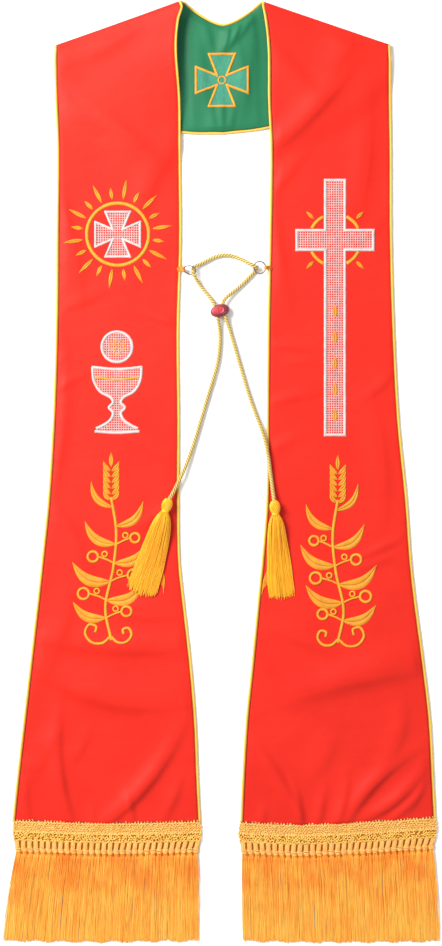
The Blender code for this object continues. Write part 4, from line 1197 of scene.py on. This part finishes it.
def strandLines(side, rootShare, spread, layer):
    # threads from the knots to the tips; layer 0 lies under layer 1
    left, right, tipY = fringe[side]["tips"]
    margin, n = fringe["margin"], len(rootShare)
    rootX, rootY = headingSpot(side, np.clip(rootShare, 0.004, 0.996), np.full(n, fringe["deep"] - 2.0))
    tipX = left + margin + (right - left - 2 * margin) * rootShare + spread
    tipX = np.clip(tipX + chance.uniform(-1, 1, n) * fringe["tipDrift"][layer], left + 0.4, right - 0.4)
    ragged = chance.uniform(-1, 1, n) * fringe["ragged"] + 1.1 * np.sin(rootShare * 47)
    tipYs = tipY + fringe["tipLift"][layer] + ragged - 1.5 * np.sin(pi * rootShare)
    # a last ring close to the tip keeps its shading
    t = np.append(np.linspace(0, 0.998, fringe["points"]), 1.0)[None]
    ease = 1 - (1 - t) ** 1.7
    x = rootX[:, None] + (tipX - spread - rootX)[:, None] * (0.55 * ease + 0.45 * t**1.3)
    x = x + spread[:, None] * (1 - (1 - t) ** 5)
    y = rootY[:, None] + (tipYs - rootY)[:, None] * t
    phase = chance.uniform(0, 2 * pi, (n, 1))
    size = chance.uniform(0.15, 0.75, (n, 1)) * fringe["ripple"][layer]
    x = x + size * np.sin(t * chance.uniform(5, 11, (n, 1)) + phase) * smooth(t * 3)
    high = fringe["height"][layer] + chance.uniform(-0.4, 0.5, (n, 1))
    z = high * (1 - 0.6 * t**2) + 0.3 * np.sin(t * 9 + phase)
    return stacked(x, y, np.maximum(z, fringe["lowest"]))


def addFringe(side):
    bars, each = fringe["bars"][side], fringe["threads"]
    under = np.linspace(0.006, 0.994, fringe["under"])
    lowLines = strandLines(side, under, chance.uniform(-1, 1, len(under)), 0)
    across = chance.uniform(-1, 1, bars * each)
    roots = np.repeat((np.arange(bars) + 0.5) / bars, each) + across * 2.3 / fringe["long"]
    highLines = strandLines(side, roots, across * 3.0, 1)
    thin = np.linspace(0.5, 0.44, highLines.shape[1])[None]
    # the layer below takes a deeper copy of the silk, painted as the shade between the strands above
    parts = tubeParts(lowLines, thin * fringe["underThick"], 3, 1)
    parts += tubeParts(highLines, thin * fringe["threadThick"], 3)
    standsFor(makePiece("fringe_strands_" + side, parts, ["fringeSilk", "fringeDeep"]))
    piece = makePiece("fringe_heading_" + side, headingParts(side), headingSlots)
    standsFor(piece, "fringe_" + side)


print("fringes")
for side in sides:
    addFringe(side)

ring = {
    "left": {"spot": (-43.2, 280.0, 7.9), "turn": -12.0, "tilt": 52.0, "lean": 0.0},
    "right": {"spot": (53.6, 283.5, 6.6), "turn": 0.0, "tilt": 0.0, "lean": 7.0},
    "across": 18.6,
    "wire": 1.8,
    "points": 96,
    "facets": 12,
    "pinch": (2.2, 0.035, 0.22),    # where the wire's ends meet: angle, spread, depth
}
ringRadius = (ring["across"] - ring["wire"]) / 2


def ringFrame(side):
    place = Matrix.Translation(ring[side]["spot"])
    for key, axis in (("turn", "Z"), ("tilt", "X"), ("lean", "Y")):
        place = place @ Matrix.Rotation(math.radians(ring[side][key]), 4, axis)
    place = np.array(place)
    return place[:3, :3], place[:3, 3]


def addRing(side):
    turn, spot = ringFrame(side)
    angle = np.linspace(0, 2 * pi, ring["points"] + 1)[:-1]
    way = stacked(np.cos(angle), np.sin(angle), 0.0) @ turn.T
    where, spread, depth = ring["pinch"]
    radius = ring["wire"] / 2 * (1 - depth * np.exp(-((angle - where) / spread) ** 2))
    line = (way * ringRadius + spot)[None]
    parts = tubeParts(line, radius, ring["facets"], closed=True, across=way[None])
    standsFor(makePiece("ring_wire_" + side, parts, ["tarnishedWire"]), "ring_" + side)


threadLoop = {
    "thick": 0.8,               # of each thread in the bundle
    "threads": 6,
    "over": 3.6,                # height over the piping
    "root": 4.4,                # in from the band's outline
    "turns": (115, 85, 55, 25, 0, -25, -55, -85, -115),     # degrees round the ring's wire
    "facets": 6,
}


def addThreadLoop(side):
    # a small bundle from the cloth over the piping and round the ring's wire
    turn, spot = ringFrame(side)
    out = 1 if side == "left" else -1
    wire = turn @ (-out * ringRadius, 0, 0) + spot
    edge = float(edgeX(side, "inner", wire[1]))
    thick, over, root = threadLoop["thick"], threadLoop["over"], threadLoop["root"]
    parts = []
    for k in range(threadLoop["threads"]):
        shift = (k - (threadLoop["threads"] - 1) / 2) * thick * 1.3
        wrap = ring["wire"] / 2 + thick * (0.75 + 0.25 * (k % 2))
        path = [
            (edge - out * (root + 0.25 * k), wire[1] + shift * 0.8 - 0.8, 1.7),
            (edge - out * (root - 0.9), wire[1] + shift - 0.4, 3.2),
            (edge - out * 2.4, wire[1] + shift * 1.15, over + 0.4),
            (edge - out * 0.3, wire[1] + shift * 0.9, over + 0.7),
        ]
        for angle in threadLoop["turns"]:
            lean = math.radians(angle)
            level = np.array([out * wrap * math.cos(lean), shift * 0.72, 0])
            path.append(wire + level + turn[:, 2] * wrap * math.sin(lean))
        path.append((edge - out * 1.2, wire[1] + shift, 3.9))
        line = smoothPath(path, 0.9)
        line[:, 2] = np.maximum(line[:, 2], 0.5)
        parts += cordPart(line, thick / 2, threadLoop["facets"])
    piece = makePiece("loop_threads_" + side, parts, ["orangeThread"])
    standsFor(piece, "thread_loop_" + side)


rope = {
    "thick": 5.5,
    "lay": 12.5,                # length of one full turn of a strand
    "hand": 1.0,                # 1 or -1: the way the strands turn
    "strands": 3,
    "strandOut": 0.262,         # a strand's middle from the rope's, as a share of its thickness
    "strandRadius": 0.238,
    "step": 0.85,
    "facets": 9,
    "taper": 34.0,              # length that thins out inside a tassel
    "thinned": 0.5,             # and by how much
}


def addRope(which):
    # strands laid round the route
    line = smoothPath(cordRoutes[which], rope["step"])
    across = carriedSides(line)
    tops = np.cross(across, unit(np.gradient(line, axis=0)))
    along = runLengths(line)
    shrink = np.ones(len(line))
    if which != "arc":
        inside = (along - along[-1] + rope["taper"]) / rope["taper"]
        shrink = 1 - rope["thinned"] * smooth(inside * 1.6)
    parts = []
    for strand in range(rope["strands"]):
        turn = rope["hand"] * 2 * pi * along / rope["lay"] + strand * 2 * pi / rope["strands"]
        out = across * np.cos(turn)[:, None] + tops * np.sin(turn)[:, None]
        middle = line + out * (rope["thick"] * rope["strandOut"] * shrink)[:, None]
        radius = rope["thick"] * rope["strandRadius"] * shrink
        parts += tubeParts(middle[None], radius, rope["facets"], across=out[None])
    return standsFor(makePiece("rope_" + which, parts, ["ropeYarn"]), "cord_" + which)


print("rings and rope")
for add in (addRing, addThreadLoop):
    for side in sides:
        add(side)
ropes = {which: addRope(which) for which in cordRoutes}

bead = {
    "size": (27.0, 18.5, 14.6),
    "turn": 14.0,
    "spot": (-1.3, 223.6, 7.5),
    "slot": (20.0, 7.0),        # that both cords run through
    "face": (-2.6, 0.9, 8.6, 5.4),      # middle and half sizes of the flat oval on top
    "faceHigh": 6.1,
    "faceBow": 0.7,
    "faceSlope": 0.05,
    "faceEdge": 0.16,           # share of the oval over which it meets the round
    "groove": (0.45, 1.1, 0.07),        # depth, place and width, the last two as shares of the oval
    "rows": 61,
    "columns": 96,
}


def beadShape():
    # an egg with a flat oval on top and a groove round the oval
    lat = np.linspace(0.0, pi, bead["rows"])[:, None]
    lon = np.linspace(0, 2 * pi, bead["columns"] + 1)[None]
    ball = stacked(np.sin(lat) * np.cos(lon), np.sin(lat) * np.sin(lon), np.cos(lat))
    points = ball[:, :-1] * np.array(bead["size"]) / 2
    x, y, wide, deep = bead["face"]
    upper = points[..., 2] > 0
    away = np.hypot((points[..., 0] - x) / wide, (points[..., 1] - y) / deep)
    flat = smooth((1.0 - away) / bead["faceEdge"]) * upper
    plateau = bead["faceHigh"] + bead["faceBow"] * (1 - away**2) - bead["faceSlope"] * points[..., 0]
    points[..., 2] = points[..., 2] * (1 - flat) + plateau * flat
    depth, at, width = bead["groove"]
    points[..., 2] -= depth * np.exp(-((away - at) / width) ** 2) * upper
    part = gridPart(points, stacked(lon / (2 * pi) * 0.07, lat * 0.007), loop=True)
    middle = part["points"][part["faces"]].mean(axis=1)
    away = np.hypot((middle[:, 0] - x) / wide, (middle[:, 1] - y) / deep)
    # the flat oval on top takes the lighter finish, a painted highlight, and the rest the darker one,
    # painted shade
    part["slot"] = ((away < 0.97) & (middle[:, 2] > 0)).astype(int)
    return part


def slotShape():
    long, high = bead["slot"]
    deep = bead["size"][1] * 0.75
    outline = [(end * ((long - high) / 2 + high / 2 * math.cos(angle)), end * high / 2 * math.sin(angle))
               for end in (1, -1) for angle in np.linspace(-pi / 2, pi / 2, 9)]
    count = len(outline)
    tool = np.array([[(x, y, z) for x, z in outline] for y in (-deep, deep)])
    part = gridPart(tool, np.zeros((2, count + 1, 2)), loop=True)
    part["caps"] = np.stack([np.arange(count)[::-1], np.arange(count) + count])
    return part


def addBead():
    piece = makePiece("bead_body", [beadShape()], ["beadSide", "beadFace"])
    cutter = makePiece("bead_cutter", [slotShape()], ["beadSide"])
    turn = Matrix.Rotation(math.radians(bead["turn"]), 4, "Z")
    for thing in (piece, cutter):
        thing.matrix_world = Matrix.Translation(Vector(bead["spot"]) * mm) @ turn
    cut = piece.modifiers.new("slot", "BOOLEAN")
    cut.object, cut.operation, cut.solver = cutter, "DIFFERENCE", "EXACT"
    bpy.context.view_layer.update()
    graph = bpy.context.evaluated_depsgraph_get()
    carved = bpy.data.meshes.new_from_object(piece.evaluated_get(graph))
    piece.modifiers.clear()
    piece.data = carved
    bpy.data.objects.remove(cutter, do_unlink=True)
    return standsFor(piece, "bead")


print("bead")
beadPiece = addBead()

tassel = {
    "left": {
        "spot": (-74.8, -45.2),
        "turn": -16.5,
        "length": 126.0,
        "threads": 430,
        "bow": 1.0,
        "stray": 1,             # the side on which loose threads lie
        "under": 3.0,           # height of what the skirt's end lies on
        # half width of the skirt, by share of its length
        "half": [(0, 5.0), (0.04, 7.6), (0.12, 11.6), (0.25, 14.6), (0.45, 17.2), (0.7, 19.8), (1, 21.0)],
    },
    "right": {
        "spot": (74.6, -48.5),
        "turn": 4.5,
        "length": 123.0,
        "threads": 380,
        "bow": -0.6,
        "stray": -1,
        "under": 1.75,
        "half": [(0, 4.8), (0.05, 7.8), (0.15, 11.2), (0.3, 13.4), (0.5, 15.8), (0.75, 17.8), (1, 18.6)],
    },
    "headHigh": 9.2,            # the head's middle above the floor
    # the head's radius, by distance from its middle
    "profile": [
        (-9.0, 2.4), (-8.0, 4.0), (-4.8, 5.6), (-0.5, 6.2), (4.0, 5.7), (7.0, 4.8), (9.0, 4.5), (11.0, 5.0),
    ],
    "threadThick": 0.75,
    "clothTop": 1.75,
    "neck": 9.0,                # where the skirt starts, from the head's middle
    "points": 15,
    "high": 6.0,                # of the skirt over what it lies on
    "rounded": 5.0,             # how much shorter it is at its sides
    "ragged": (-8.0, 5.0),      # least and most that a thread is longer, by chance
    "ripple": (0.1, 0.8),
    "wanderers": 0.08,          # share of the threads that wander
    "wander": 3.2,              # and how much more they ripple
    "core": 0.7,                # how far the ball lies below the loops
    "loops": 15,                # wound over the head
    "loopReach": 15.5,
    "loopRadius": 0.95,
    "binding": 5,               # turns round its neck
    "bindingFrom": 5.6,
    "bindingLong": 4.6,
    "bindingRadius": 0.6,
    "strays": 6,                # loose threads beside the skirt
    "strayFrom": 80.0,
    "strayRadius": 0.36,
}


def tasselPlace(side, along, across, up):
    facts = tassel[side]
    turn = math.radians(-90 + facts["turn"])
    x = facts["spot"][0] + along * math.cos(turn) - across * math.sin(turn)
    y = facts["spot"][1] + along * math.sin(turn) + across * math.cos(turn)
    return stacked(x, y, up)


def skirtParts(side):
    facts = tassel[side]
    n = facts["threads"]
    t = np.append(np.linspace(0, 0.997, tassel["points"]), 1.0)[None]
    around = chance.uniform(0, 2 * pi, (n, 1))
    deep = np.sqrt(chance.uniform(0.15, 1.0, (n, 1)))
    end = facts["length"] + chance.uniform(*tassel["ragged"], (n, 1)) + 1.8 * np.sin(around * 5)
    share = np.cos(around) * deep
    layer = 0.5 + 0.5 * np.sin(around) * deep
    end = end - tassel["rounded"] * np.abs(share)
    along = tassel["neck"] + (end - tassel["neck"]) * t
    across = share * fromTable(facts["half"], t) + facts["bow"] * np.sin(pi * t)
    # most threads are nearly straight and a few wander
    ripple = chance.uniform(*tassel["ripple"], (n, 1)) * smooth((t - 0.15) * 2)
    wanders = chance.uniform(0, 1, (n, 1)) < tassel["wanderers"]
    ripple = ripple * np.where(wanders, tassel["wander"], 1.0)
    across = across + ripple * np.sin(t * chance.uniform(5, 12, (n, 1)) + chance.uniform(0, 6.28, (n, 1)))
    fall = smooth((t - 0.02) / 0.5)
    root = tassel["headHigh"] + np.sin(around) * deep * (4.2 + 1.4 * smooth(t * 5))
    under = tassel["clothTop"] + (facts["under"] - tassel["clothTop"]) * smooth(t * 2.5)
    rest = under + 0.5 + tassel["high"] * layer * (1 - 0.72 * t**2) * (1 - 0.5 * share**2)
    up = np.maximum(root * (1 - fall) + rest * fall, under + 0.4)
    parts = tubeParts(tasselPlace(side, along, across, up), (1 - 0.2 * t) * tassel["threadThick"] / 2, 3)
    s = np.linspace(0, 1, 12)
    strays = []
    for k in range(tassel["strays"]):
        out = facts["half"][-1][1] * (0.82 + 0.24 * s) + k * 1.9 * s + 1.3 * np.sin(6 * s + k)
        down = tassel["strayFrom"] + (27.0 + 2.4 * k) * s
        strays.append(tasselPlace(side, down, facts["stray"] * out, tassel["clothTop"] + 0.6))
    return parts + tubeParts(np.array(strays), tassel["strayRadius"], 3)


def woundThread(side, down, out, turn, radius):
    # a thread round the head, by distance from its middle, radius and angle
    spots = tasselPlace(side, down, out * np.cos(turn), tassel["headHigh"] + out * np.sin(turn))
    return cordPart(spots, radius, 6)


def headParts(side):
    profile, high = tassel["profile"], tassel["headHigh"]
    along = np.linspace(profile[0][0], profile[-1][0], 26)[:, None]
    angle = np.linspace(0, 2 * pi, 25)[None]
    radius = fromTable(profile, along) - tassel["core"]
    core = tasselPlace(side, along, radius * np.cos(angle[:, :-1]), high + radius * np.sin(angle[:, :-1]))
    parts = [gridPart(core, stacked(along * mm, angle * 0.006), loop=True)]
    s = np.linspace(0, 1, 16)
    down = tassel["loopReach"] * s - tassel["neck"]
    out = fromTable(profile, down) - 0.1 + 0.5 * np.sin(pi * s)
    for k in range(tassel["loops"]):
        turn = k * 2 * pi / tassel["loops"] + 1.5 * (s - 0.5)
        parts += woundThread(side, down, out, turn, tassel["loopRadius"])
    turn = np.linspace(0, 2 * pi * tassel["binding"], tassel["binding"] * 22)
    down = tassel["bindingFrom"] + tassel["bindingLong"] * turn / turn[-1]
    out = fromTable(profile, down) + 0.1
    return parts + woundThread(side, down, out, turn, tassel["bindingRadius"])


print("tassels")
tassels = {}
for side in sides:
    head = makePiece("tassel_head_" + side, headParts(side), ["tasselSilk"])
    skirt = makePiece("tassel_skirt_" + side, skirtParts(side), ["tasselSilk"])
    tassels[side] = [standsFor(head), standsFor(skirt, "tassel_" + side)]

stitch = {
    "lift": 1.25,               # of a satin line above the cloth
    "base": 0.12,
    "white": 4.0,               # widths of the lines
    "gold": 4.2,
    "fine": 3.3,
    "outline": 3.4,
    "netPitch": 3.3,
    "netWidth": 1.2,
    "netLift": 0.45,
    "ragged": 0.14,
    "step": 1.7,                # between the points of a line
    "edgeStep": 1.8,
    "lap": 0.42,                # past a corner, as a share of the width
    "netStep": 3.5,
    "netRise": 0.12,            # of each layer of a net over the one below
    "across": (0.5, 0.34, 0.0, -0.34, -0.5),    # a column's section: shares of its width
    "rises": (-0.25, 0.8, 1.0, 0.8, -0.25),     # and of its lift
    "leafAcross": (1.0, 0.75, 0.4, 0.04),       # half a leaf's, from its edge to its midrib
    "leafRises": (-0.2, 0.7, 1.0, 0.25),
}

surfaces = {
    "left": lambda x, y: frontTop("left", x, y),
    "right": lambda x, y: frontTop("right", x, y),
    "neck": liningSurface,
}

# The embroidery's finishes and their slots
gold, slanted, white, net, mint = range(5)
workSlots = ["goldStitch", "goldSlant", "whiteStitch", "netThread", "mintStitch"]


def stitched(place, spots, rises, along, across, slot):
    # a raised strip on the cloth, with its UVs in metres along and across it
    z = surfaces[place](spots[..., 0], spots[..., 1]) + stitch["base"] + rises
    marks = stacked((runLengths(along) * mm)[:, None], across * mm)
    return gridPart(joined(spots, z), marks, slot=slot)


def columnPart(place, line, width, slot, lift=None, ends=True):
    # a raised column of satin stitch along a flat line
    lift = stitch["lift"] if lift is None else lift
    across = np.array(stitch["across"]) * width
    ragged = np.zeros((len(line), len(across)))
    for edge in (0, -1):
        ragged[:, edge] = chance.uniform(-1, 1, len(line)) * stitch["ragged"]
    cover = np.ones((len(line), 1))
    if ends:
        cover[0] = cover[-1] = 0.25
    spots = line[:, None] + leftOf(line)[:, None] * (across + ragged)[..., None]
    rises = np.array(stitch["rises"]) * lift * min(width / 2.0, 1.0) * cover
    return stitched(place, spots, rises, line, across, slot)


def satinLine(place, points, width, slot, closed=False):
    points = [*points, points[0]] if closed else points
    return columnPart(place, smoothPath(points, stitch["step"]), width, slot, ends=not closed)


def straightLine(start, end, step, least, lap=0.0):
    # evenly spaced points from start to end, past which the line may lap
    count = max(int(np.linalg.norm(end - start) / step), least)
    past = unit(end - start) * lap
    t = np.linspace(0, 1, count + 1)[:, None]
    return (start - past) * (1 - t) + (end + past) * t


def satinEdges(place, polygon, width, slot):
    # straight columns along a shape's sides, lapped at its corners
    corners = np.array(polygon, float)
    parts = []
    for start, end in zip(corners, np.roll(corners, -1, axis=0)):
        line = straightLine(start, end, stitch["edgeStep"], 2, width * stitch["lap"])
        parts.append(columnPart(place, line, width, slot))
    return parts


def clippedRows(polygon, pitch, angle):
    # parallel lines inside a closed shape
    turn = math.radians(angle)
    spin = np.array([[math.cos(turn), math.sin(turn)], [-math.sin(turn), math.cos(turn)]])
    corners = np.asarray(polygon, float) @ spin.T
    rows = []
    y = corners[:, 1].min() + pitch / 2
    while y < corners[:, 1].max():
        cuts = []
        for a, b in zip(corners, np.roll(corners, -1, axis=0)):
            if (a[1] > y) != (b[1] > y):
                cuts.append(a[0] + (y - a[1]) / (b[1] - a[1]) * (b[0] - a[0]))
        cuts.sort()
        for start, end in zip(cuts[::2], cuts[1::2]):
            if end - start > 1.2:
                rows.append(np.array([(start, y), (end, y)]) @ spin)
        y += pitch
    return rows


def netFill(place, polygon, slot=net, pitch=stitch["netPitch"], width=stitch["netWidth"],
            angles=(0, 90), lift=stitch["netLift"]):
    parts = []
    for layer, angle in enumerate(angles):
        high = lift + stitch["netRise"] * layer
        for start, end in clippedRows(polygon, pitch, angle):
            line = straightLine(start, end, stitch["netStep"], 1)
            parts.append(columnPart(place, line, width, slot, lift=high, ends=False))
    return parts


def leafParts(place, base, tip, width, bend=0.0):
    # two halves of slanted stitches that meet at the midrib
    base, tip = np.array(base, float), np.array(tip, float)
    run = tip - base
    count = max(int(np.linalg.norm(run) / stitch["edgeStep"]), 5)
    t = np.linspace(0, 1, count + 1)[:, None]
    axis = base + run * t + np.array([-run[1], run[0]]) * bend * np.sin(pi * t)
    wide = width / 2 * np.sin(pi * np.clip(t, 0.02, 0.985) ** 0.8) ** 0.85
    parts = []
    for hand in (1, -1):
        across = np.array(stitch["leafAcross"])[::hand] * wide
        rises = np.array(stitch["leafRises"])[::hand] * stitch["lift"] * np.minimum(wide / 1.5, 1)
        spots = axis[:, None] + leftOf(axis)[:, None] * (hand * across)[..., None]
        parts.append(stitched(place, spots, rises, axis, across, slanted))
    return parts


def rayDirection(angle):
    return np.array([math.cos(angle), math.sin(angle)])


def circle(middle, radius, count):
    return [middle + rayDirection(k / count * 2 * pi) * radius for k in range(count)]


def ringLine(place, middle, radius, width, slot=gold):
    return satinLine(place, circle(middle, radius, max(int(radius * 2.4), 14)), width, slot, closed=True)


def flaredCross(middle, reach, waist, flare):
    arm = [(waist, waist), (flare, reach), (-flare, reach)]
    corners = []
    for _ in range(4):
        corners += arm
        arm = [(-y, x) for x, y in arm]
    return [(middle[0] + x, middle[1] + y) for x, y in corners]


sprig = {
    "spots": {"left": (-152.0, -232.0), "right": (162.0, -236.0)},
    "hand": {"left": 1, "right": -1},
    "stem": [(0, 0), (-8, 45), (3, 100), (7, 150), (0, 198)],
    "leaf": (46.0, 14.0),       # reach and width
    "leafSizes": (1.0, 1.12, 1.14, 1.04, 0.94, 0.82, 0.66),
    "leafBend": 0.2,
    "leafShares": (0.155, 0.128),       # of the stem below the first leaf, and between leaves
    "leafRise": (22.0, 2.5),    # of the first tip over its base, and more for each leaf after it
    "berries": 5,               # a fork of them across from each of the lowest leaves
    "berry": (6.8, 3.8),        # radius and width of line
    "berrySpot": (28.0, 9.0),
    "stalkBend": (10.0, 5.0),
    "smallBerry": (3.6, 2.6),
    "smallSpot": (13.0, 12.5),
    "scroll": [(0, 6), (12, -4), (27, -3), (36, 9), (31, 21), (21, 19), (22, 11)],
    "scrollSizes": (1.0, 0.78),
    "grain": (6, 8.0, 6.4),     # pairs, their spacing and width
    "grainTip": (10.0, 13.5),
    "grainBend": 0.12,
    "topGrain": (42, 62),
}


def sprigParts(place):
    # an upright sprig: leaves on alternate sides, ring berries, scrolls at its foot and an ear of grain
    (cx, low), hand = sprig["spots"][place], sprig["hand"][place]
    stem = [(cx + hand * x, low + y) for x, y in sprig["stem"]]
    parts = [satinLine(place, stem, stitch["gold"], gold)]
    line = smoothPath(stem, 1.0)
    first, between = sprig["leafShares"]
    for k, size in enumerate(sprig["leafSizes"]):
        at = line[int(len(line) * (first + between * k))]
        way = hand if k % 2 else -hand
        tip = at + (way * sprig["leaf"][0] * size, sprig["leafRise"][0] + sprig["leafRise"][1] * k)
        parts += leafParts(place, at, tip, sprig["leaf"][1] * size, bend=-sprig["leafBend"] * way)
        if k < sprig["berries"]:
            out, up = sprig["berrySpot"]
            radius, width = sprig["berry"]
            middle = at + (-way * out * size, up)
            bendOut, bendUp = sprig["stalkBend"]
            stalk = [at, at + (-way * bendOut, bendUp), middle + (way * radius * size, 0.0)]
            parts.append(satinLine(place, stalk, stitch["fine"] * 0.85, gold))
            parts.append(ringLine(place, middle, radius * size, width))
            out, up = sprig["smallSpot"]
            parts.append(ringLine(place, at + (-way * out, up), *sprig["smallBerry"]))
    for way, size in zip((-hand, hand), sprig["scrollSizes"]):
        curl = [(cx + way * x * size, low + y * size) for x, y in sprig["scroll"]]
        parts.append(satinLine(place, curl, stitch["fine"] + 0.4, gold))
    pairs, pitch, width = sprig["grain"]
    out, up = sprig["grainTip"]
    for k in range(pairs):
        for way in (-1, 1):
            base = line[-1] + (way * 0.8, pitch * k - 4)
            parts += leafParts(place, base, base + (way * out, up), width, bend=-sprig["grainBend"] * way)
    start, end = sprig["topGrain"]
    return parts + leafParts(place, line[-1] + (0, start), line[-1] + (0, end), width)


ringCross = {
    "spot": (-143.0, 330.0),
    "cross": (31, 6.5, 17),     # reach, waist and flare of a cross
    "ring": 43,
    "rays": 20,
    "rayFrom": 49,
    "rayTo": (76.0, 65.0),      # by turns
    "rayWidth": 5.6,
}


def ringCrossParts(place):
    # a flared cross in a gold ring with short even rays
    middle = ringCross["spot"]
    shape = flaredCross(middle, *ringCross["cross"])
    parts = netFill(place, shape) + satinEdges(place, shape, stitch["outline"], white)
    parts.append(ringLine(place, middle, ringCross["ring"], stitch["gold"] + 0.6))
    for k in range(ringCross["rays"]):
        way = rayDirection((k + 0.5) / ringCross["rays"] * 2 * pi)
        start, end = (middle + way * far for far in (ringCross["rayFrom"], ringCross["rayTo"][k % 2]))
        parts += leafParts(place, start, end, ringCross["rayWidth"])
    return parts


chalice = {
    "spot": (-144.0, 56.0),     # the middle of its foot
    "profile": [
        (29, 0), (29, 5), (20, 9), (9, 17), (5.5, 27), (11, 34), (5.5, 41), (9, 48), (23, 56), (32, 71),
        (34, 90),
    ],
    # half width, height, sag, width and slot of its foot, its rim and a gold band under the rim
    "lines": [
        (31, 1, 2, stitch["white"], white), (35, 90, 3, stitch["white"], white),
        (30.5, 76, 3.5, stitch["fine"], gold),
    ],
    "hostHigh": 118,
    "host": (20, 21),           # radius of its net and of its ring
    "hostCross": (10, 2.0, 4.6),
    "hostLine": 1.5,
}


def chaliceParts(place):
    # a plain cup with a round host over it
    cx, low = chalice["spot"]
    right = [(cx + x, low + y) for x, y in chalice["profile"]]
    left = [(cx - x, low + y) for x, y in chalice["profile"]]
    parts = netFill(place, right + left[::-1])
    for line in (right, left):
        parts.append(satinLine(place, line[1:], stitch["white"], white))
    for wide, high, sag, width, slot in chalice["lines"]:
        bowed = [(cx - wide, low + high), (cx, low + high - sag), (cx + wide, low + high)]
        parts.append(satinLine(place, bowed, width, slot))
    host = (cx, low + chalice["hostHigh"])
    inner, outer = chalice["host"]
    parts += netFill(place, circle(host, inner, 30))
    parts.append(ringLine(place, host, outer, stitch["white"], white))
    return parts + satinEdges(place, flaredCross(host, *chalice["hostCross"]), chalice["hostLine"], gold)


tallCross = {
    "spot": (158.0, 322.0),     # its crossing
    "high": 405.0,              # y of its upper and lower end
    "low": 52.0,
    "half": 13.5,
    "reach": 53.0,
    "ring": 36,
    "ringGap": 2.5,
    "cornerLeaf": (42, 56, 5.0),        # start, end and width
    "footLeaf": (28, 36, 7.0),  # height of the first, spacing and width
    "footLeaves": 5,
}


def tallCrossParts(place):
    # a long cross with a ring round its crossing and gold leaves on its foot
    cx, arms = middle = tallCross["spot"]
    half, reach, radius, low = (tallCross[key] for key in ("half", "reach", "ring", "low"))
    right = [
        (half, tallCross["high"]), (half, arms + half), (reach, arms + half), (reach, arms - half),
        (half, arms - half), (half, low),
    ]
    shape = [(cx - half, tallCross["high"])]
    shape += [(cx + x, y) for x, y in right] + [(cx - x, y) for x, y in right[:0:-1]]
    parts = netFill(place, shape) + satinEdges(place, shape, stitch["white"], white)
    span = math.acos((half + tallCross["ringGap"]) / radius) - pi / 4
    start, end, width = tallCross["cornerLeaf"]
    for k in range(4):
        angle = pi / 4 + pi / 2 * k
        arc = [middle + rayDirection(angle + a) * radius for a in np.linspace(-span, span, 9)]
        parts.append(satinLine(place, arc, stitch["gold"] + 0.4, gold))
        way = rayDirection(angle)
        parts += leafParts(place, middle + way * start, middle + way * end, width)
    first, pitch, width = tallCross["footLeaf"]
    for k in range(tallCross["footLeaves"]):
        y = low + first + pitch * k
        parts += leafParts(place, (cx, y - 9), (cx, y + 9), width)
    return parts


neckCross = {
    "spot": (1.4, 543.0),
    "cross": (36, 6.5, 18),
    "fill": {"pitch": 1.5, "width": 1.5, "angles": (90,), "lift": 0.35},
    "ring": (5.0, 2.2),
}


def neckCrossParts(place):
    shape = flaredCross(neckCross["spot"], *neckCross["cross"])
    parts = netFill(place, shape, mint, **neckCross["fill"])
    parts += satinEdges(place, shape, stitch["outline"], gold)
    parts.append(ringLine(place, neckCross["spot"], *neckCross["ring"]))
    return parts


print("embroidery")
motifs = {
    "left": (ringCrossParts, chaliceParts, sprigParts),
    "right": (tallCrossParts, sprigParts),
    "neck": (neckCrossParts,),
}
for place, makers in motifs.items():
    work = [part for maker in makers for part in maker(place)]
    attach(makePiece("embroidery_" + place, work, workSlots), "root")

cordEnds = {
    "arc": {"far_end": "object"},
    "left": {"far_end": "knot", "with_pieces": [beadPiece, *tassels["left"]]},
    "right": {"far_end": "knot", "with_pieces": [*tassels["right"]]},
}
for which, ends in cordEnds.items():
    length = float(runLengths(smoothPath(cordRoutes[which], 1.0))[-1]) * mm


def addFloor():
    tree, _, space = startMaterial("paleFloor")
    colour = addDye(tree, space, "paleFloor", 1.5, 0.5)["Colour"]
    setSurface(tree, {"Base Color": colour, "Roughness": 0.75, "Specular IOR Level": 0.2})
    half = lights["floorSize"] / 2 / mm
    points = np.array([[(x, y, -lights["floorDrop"]) for x in (-half, half)] for y in (-half, half)])
    makePiece("floor", [gridPart(points, np.zeros((2, 2, 2)))], ["paleFloor"])


print("light and floor")
addFloor()
addLight("key")
addLight("fill")
world = bpy.data.worlds.new("studio")
world.use_nodes = True
background = world.node_tree.nodes["Background"].inputs
background["Color"].default_value = (*lights["worldColour"], 1)
background["Strength"].default_value = lights["world"]
bpy.context.scene.world = world
bpy.context.scene.view_settings.view_transform = "Standard"

print("done")
